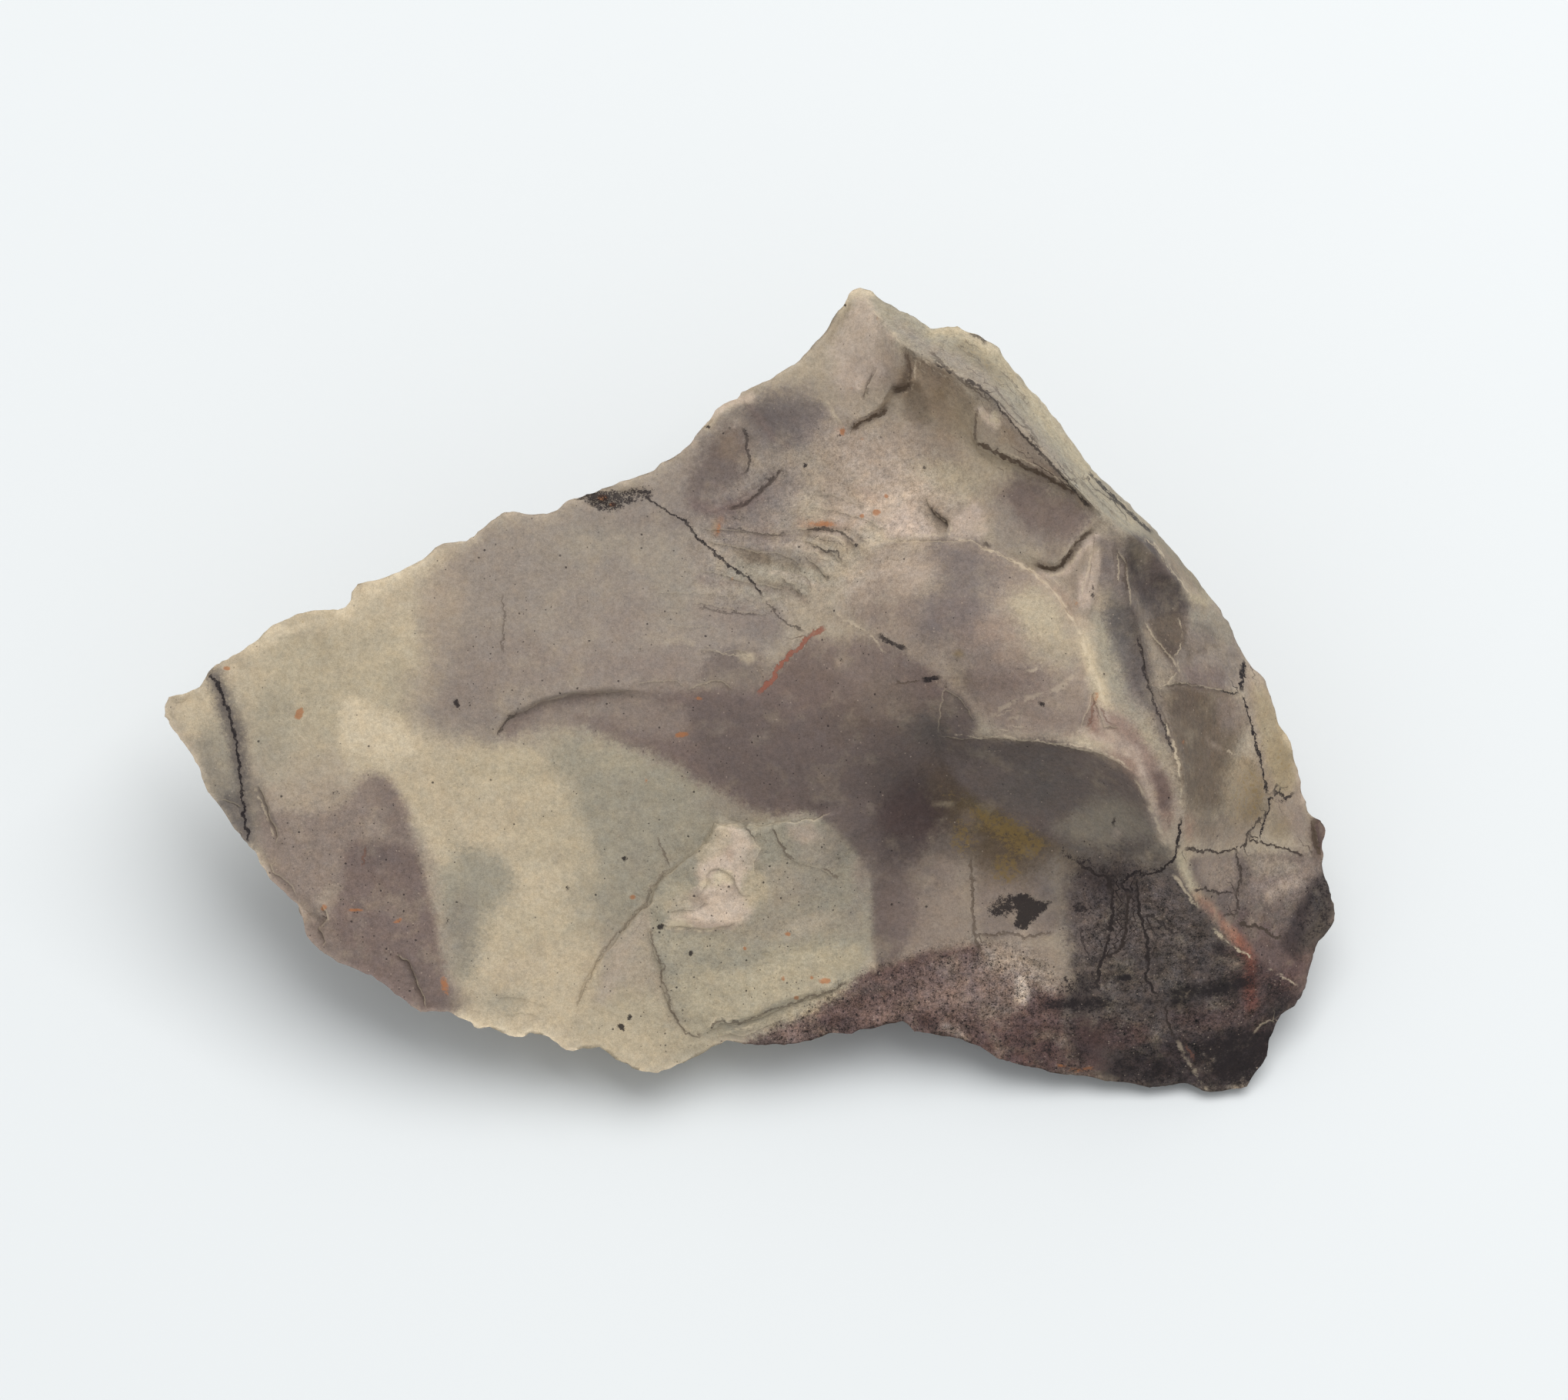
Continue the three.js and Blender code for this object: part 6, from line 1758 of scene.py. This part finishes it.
    def lay_seams_and_shade_lines(self):
        """Black and brown seams and dark lines of painted shade, each in a faint dusky band that is partly
        painted shade. Gives these lines.
        """
        width = self.number("seam_width")
        patchy = self.step(0.2, 0.6, self.noise(self.elsewhere, *SEAM_GAPS))
        force = self.number("seam_force") * (0.62 + 0.5 * patchy)
        away = abs(self.number("seam") + 0.2 * self.ragged + self.uneven(middle=0.8))
        # a faint dark band along each line, partly painted shade
        self.lay(self.step(0.45, 0.0, away) * force * 0.22, paint("dusk"))
        seam = self.step(width * 1.35, width * 0.75, away) * force
        tone = self.number("seam_tone")
        dark = self.mix(self.step(0.0, 0.5, tone), paint("soot"), paint("umber"))
        dark = self.mix(self.step(0.5, 1.0, tone), dark, paint("brick"))
        self.lay(seam, dark)
        return seam

    def pale_rim(self):
        """Makes the worn, thin rim a little paler."""
        rim = self.step(0.7, 0.0, self.number("from_rim") + self.uneven(fine=0.8))
        self.lay(rim * (0.9 - 0.7 * self.mottle), self.brighter(1.22))

    def surface(self, dots, soot, seam):
        """The finished surface: dull and waxy, with its grain, ledges and seams in relief."""
        step_up = self.step(-0.04, 0.04, self.ledge) * self.ledge_force
        middle = self.noises["middle"]
        height = 0.05 * middle + 0.024 * self.noises["fine"] + 0.01 * self.noises["grain"]
        height = height + 0.03 * step_up - 0.05 * seam - 0.02 * dots
        bump = self.wire("ShaderNodeBump", 0, Strength=BUMP_STRENGTH, Distance=MM, Height=height)
        return self.wire(
            "ShaderNodeBsdfPrincipled", 0, Base_Color=self.mixed, Normal=bump,
            Roughness=0.55 + 0.25 * middle + 0.05 * soot, Specular_IOR_Level=GLOSS,
        )


def jasper_material():
    """Dull, waxy jasper: clouded pigments, black and brown seams, bruised edges and specks, with painted
    shade and highlights.
    """
    material = bpy.data.materials.new("porcelain_jasper")
    material.use_nodes = True
    material.node_tree.nodes.clear()
    jasper = Jasper(material.node_tree)
    jasper.lay_pigments()
    jasper.mottle_pigments()
    dots = jasper.lay_specks()
    soot = jasper.lay_stains()
    jasper.lay_ledges()
    jasper.lay_glints()
    seam = jasper.lay_seams_and_shade_lines()
    jasper.pale_rim()
    jasper.node("ShaderNodeOutputMaterial", Surface=jasper.surface(dots, soot, seam))
    return material


# ---- The table, the light and the camera ----
TABLE_SIDE = 3.0  # m
TABLE_COLOUR = (0.735, 0.755, 0.76, 1)
TABLE_ROUGHNESS = 0.9
WINDOW_PLACE = Vector((0.16, 0.21, 0.80))  # m, above, behind and to the right of the stone
WINDOW_AIM = Vector((0, 0, 0.01))
WINDOW_SIDE = 0.7
WINDOW_POWER = 5.7  # W
ROOM_COLOUR = (0.96, 0.985, 1, 1)
ROOM_STRENGTH = 0.6
PICTURE_COLUMNS = 2038  # grid squares across the camera's picture
SENSOR_WIDTH = 36  # mm
SIGHT_LIMIT = 10  # m, past the table's far corner
SMOOTH_BELOW = math.radians(42)  # faces that meet at less than this are shaded as one


def set_table():
    """A pale table top."""
    material = bpy.data.materials.new("pale_table")
    material.use_nodes = True
    surface = material.node_tree.nodes["Principled BSDF"]
    surface.inputs["Base Color"].default_value = TABLE_COLOUR
    surface.inputs["Roughness"].default_value = TABLE_ROUGHNESS
    bpy.ops.mesh.primitive_plane_add(size=TABLE_SIDE, location=(0, 0, 0))
    table = bpy.context.active_object
    table.name = "table_top"
    table.data.materials.append(material)


def set_light():
    """One soft window, in an evenly lit room."""
    light = bpy.data.lights.new("window", "AREA")
    light.size = WINDOW_SIDE
    light.energy = WINDOW_POWER
    window = bpy.data.objects.new("window", light)
    bpy.context.collection.objects.link(window)
    window.location = WINDOW_PLACE
    window.rotation_euler = (WINDOW_AIM - WINDOW_PLACE).to_track_quat("-Z", "Y").to_euler()
    world = bpy.data.worlds.new("soft_room")
    world.use_nodes = True
    room = world.node_tree.nodes["Background"]
    room.inputs["Color"].default_value = ROOM_COLOUR
    room.inputs["Strength"].default_value = ROOM_STRENGTH
    bpy.context.scene.world = world
    bpy.context.scene.view_settings.view_transform = "Standard"


def set_camera():
    """A camera straight above the broad face, along its normal."""
    camera = bpy.data.cameras.new("camera")
    eye = bpy.data.objects.new("camera", camera)
    bpy.context.collection.objects.link(eye)
    along = (SIGHT_COLUMN - TIP_COLUMN) * SQUARE
    up = (FOOT_ROW - SIGHT_ROW) * SQUARE
    eye.location = face_place(along, up, SIGHT_HEIGHT + SIGHT_DISTANCE)
    eye.rotation_euler = (LEAN, 0, 0)
    camera.sensor_width = SENSOR_WIDTH
    camera.lens = SENSOR_WIDTH * SIGHT_DISTANCE / (PICTURE_COLUMNS * SQUARE)
    camera.clip_end = SIGHT_LIMIT
    bpy.context.scene.camera = eye


set_camera()
stone = rounded_copy(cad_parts["jasper_rough"])
relief_lines = [entry[-1] for entry in LEDGE_LINES + GROOVES]
dots = small_dots(SOOT_PATCHES + RUST_FLECKS)
refine_along(stone, relief_lines + dots, FINE_BAND)
refine_along(stone, dots, FINEST_BAND)
from_rim, upper = work_surface(stone)
colour_stone(stone, from_rim, upper)
stone.data.materials.clear()
stone.data.materials.append(jasper_material())
select_only(stone)
bpy.ops.object.shade_smooth_by_angle(angle=SMOOTH_BELOW)
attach(stone, "root")
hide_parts("jasper_rough")
set_table()
set_light()
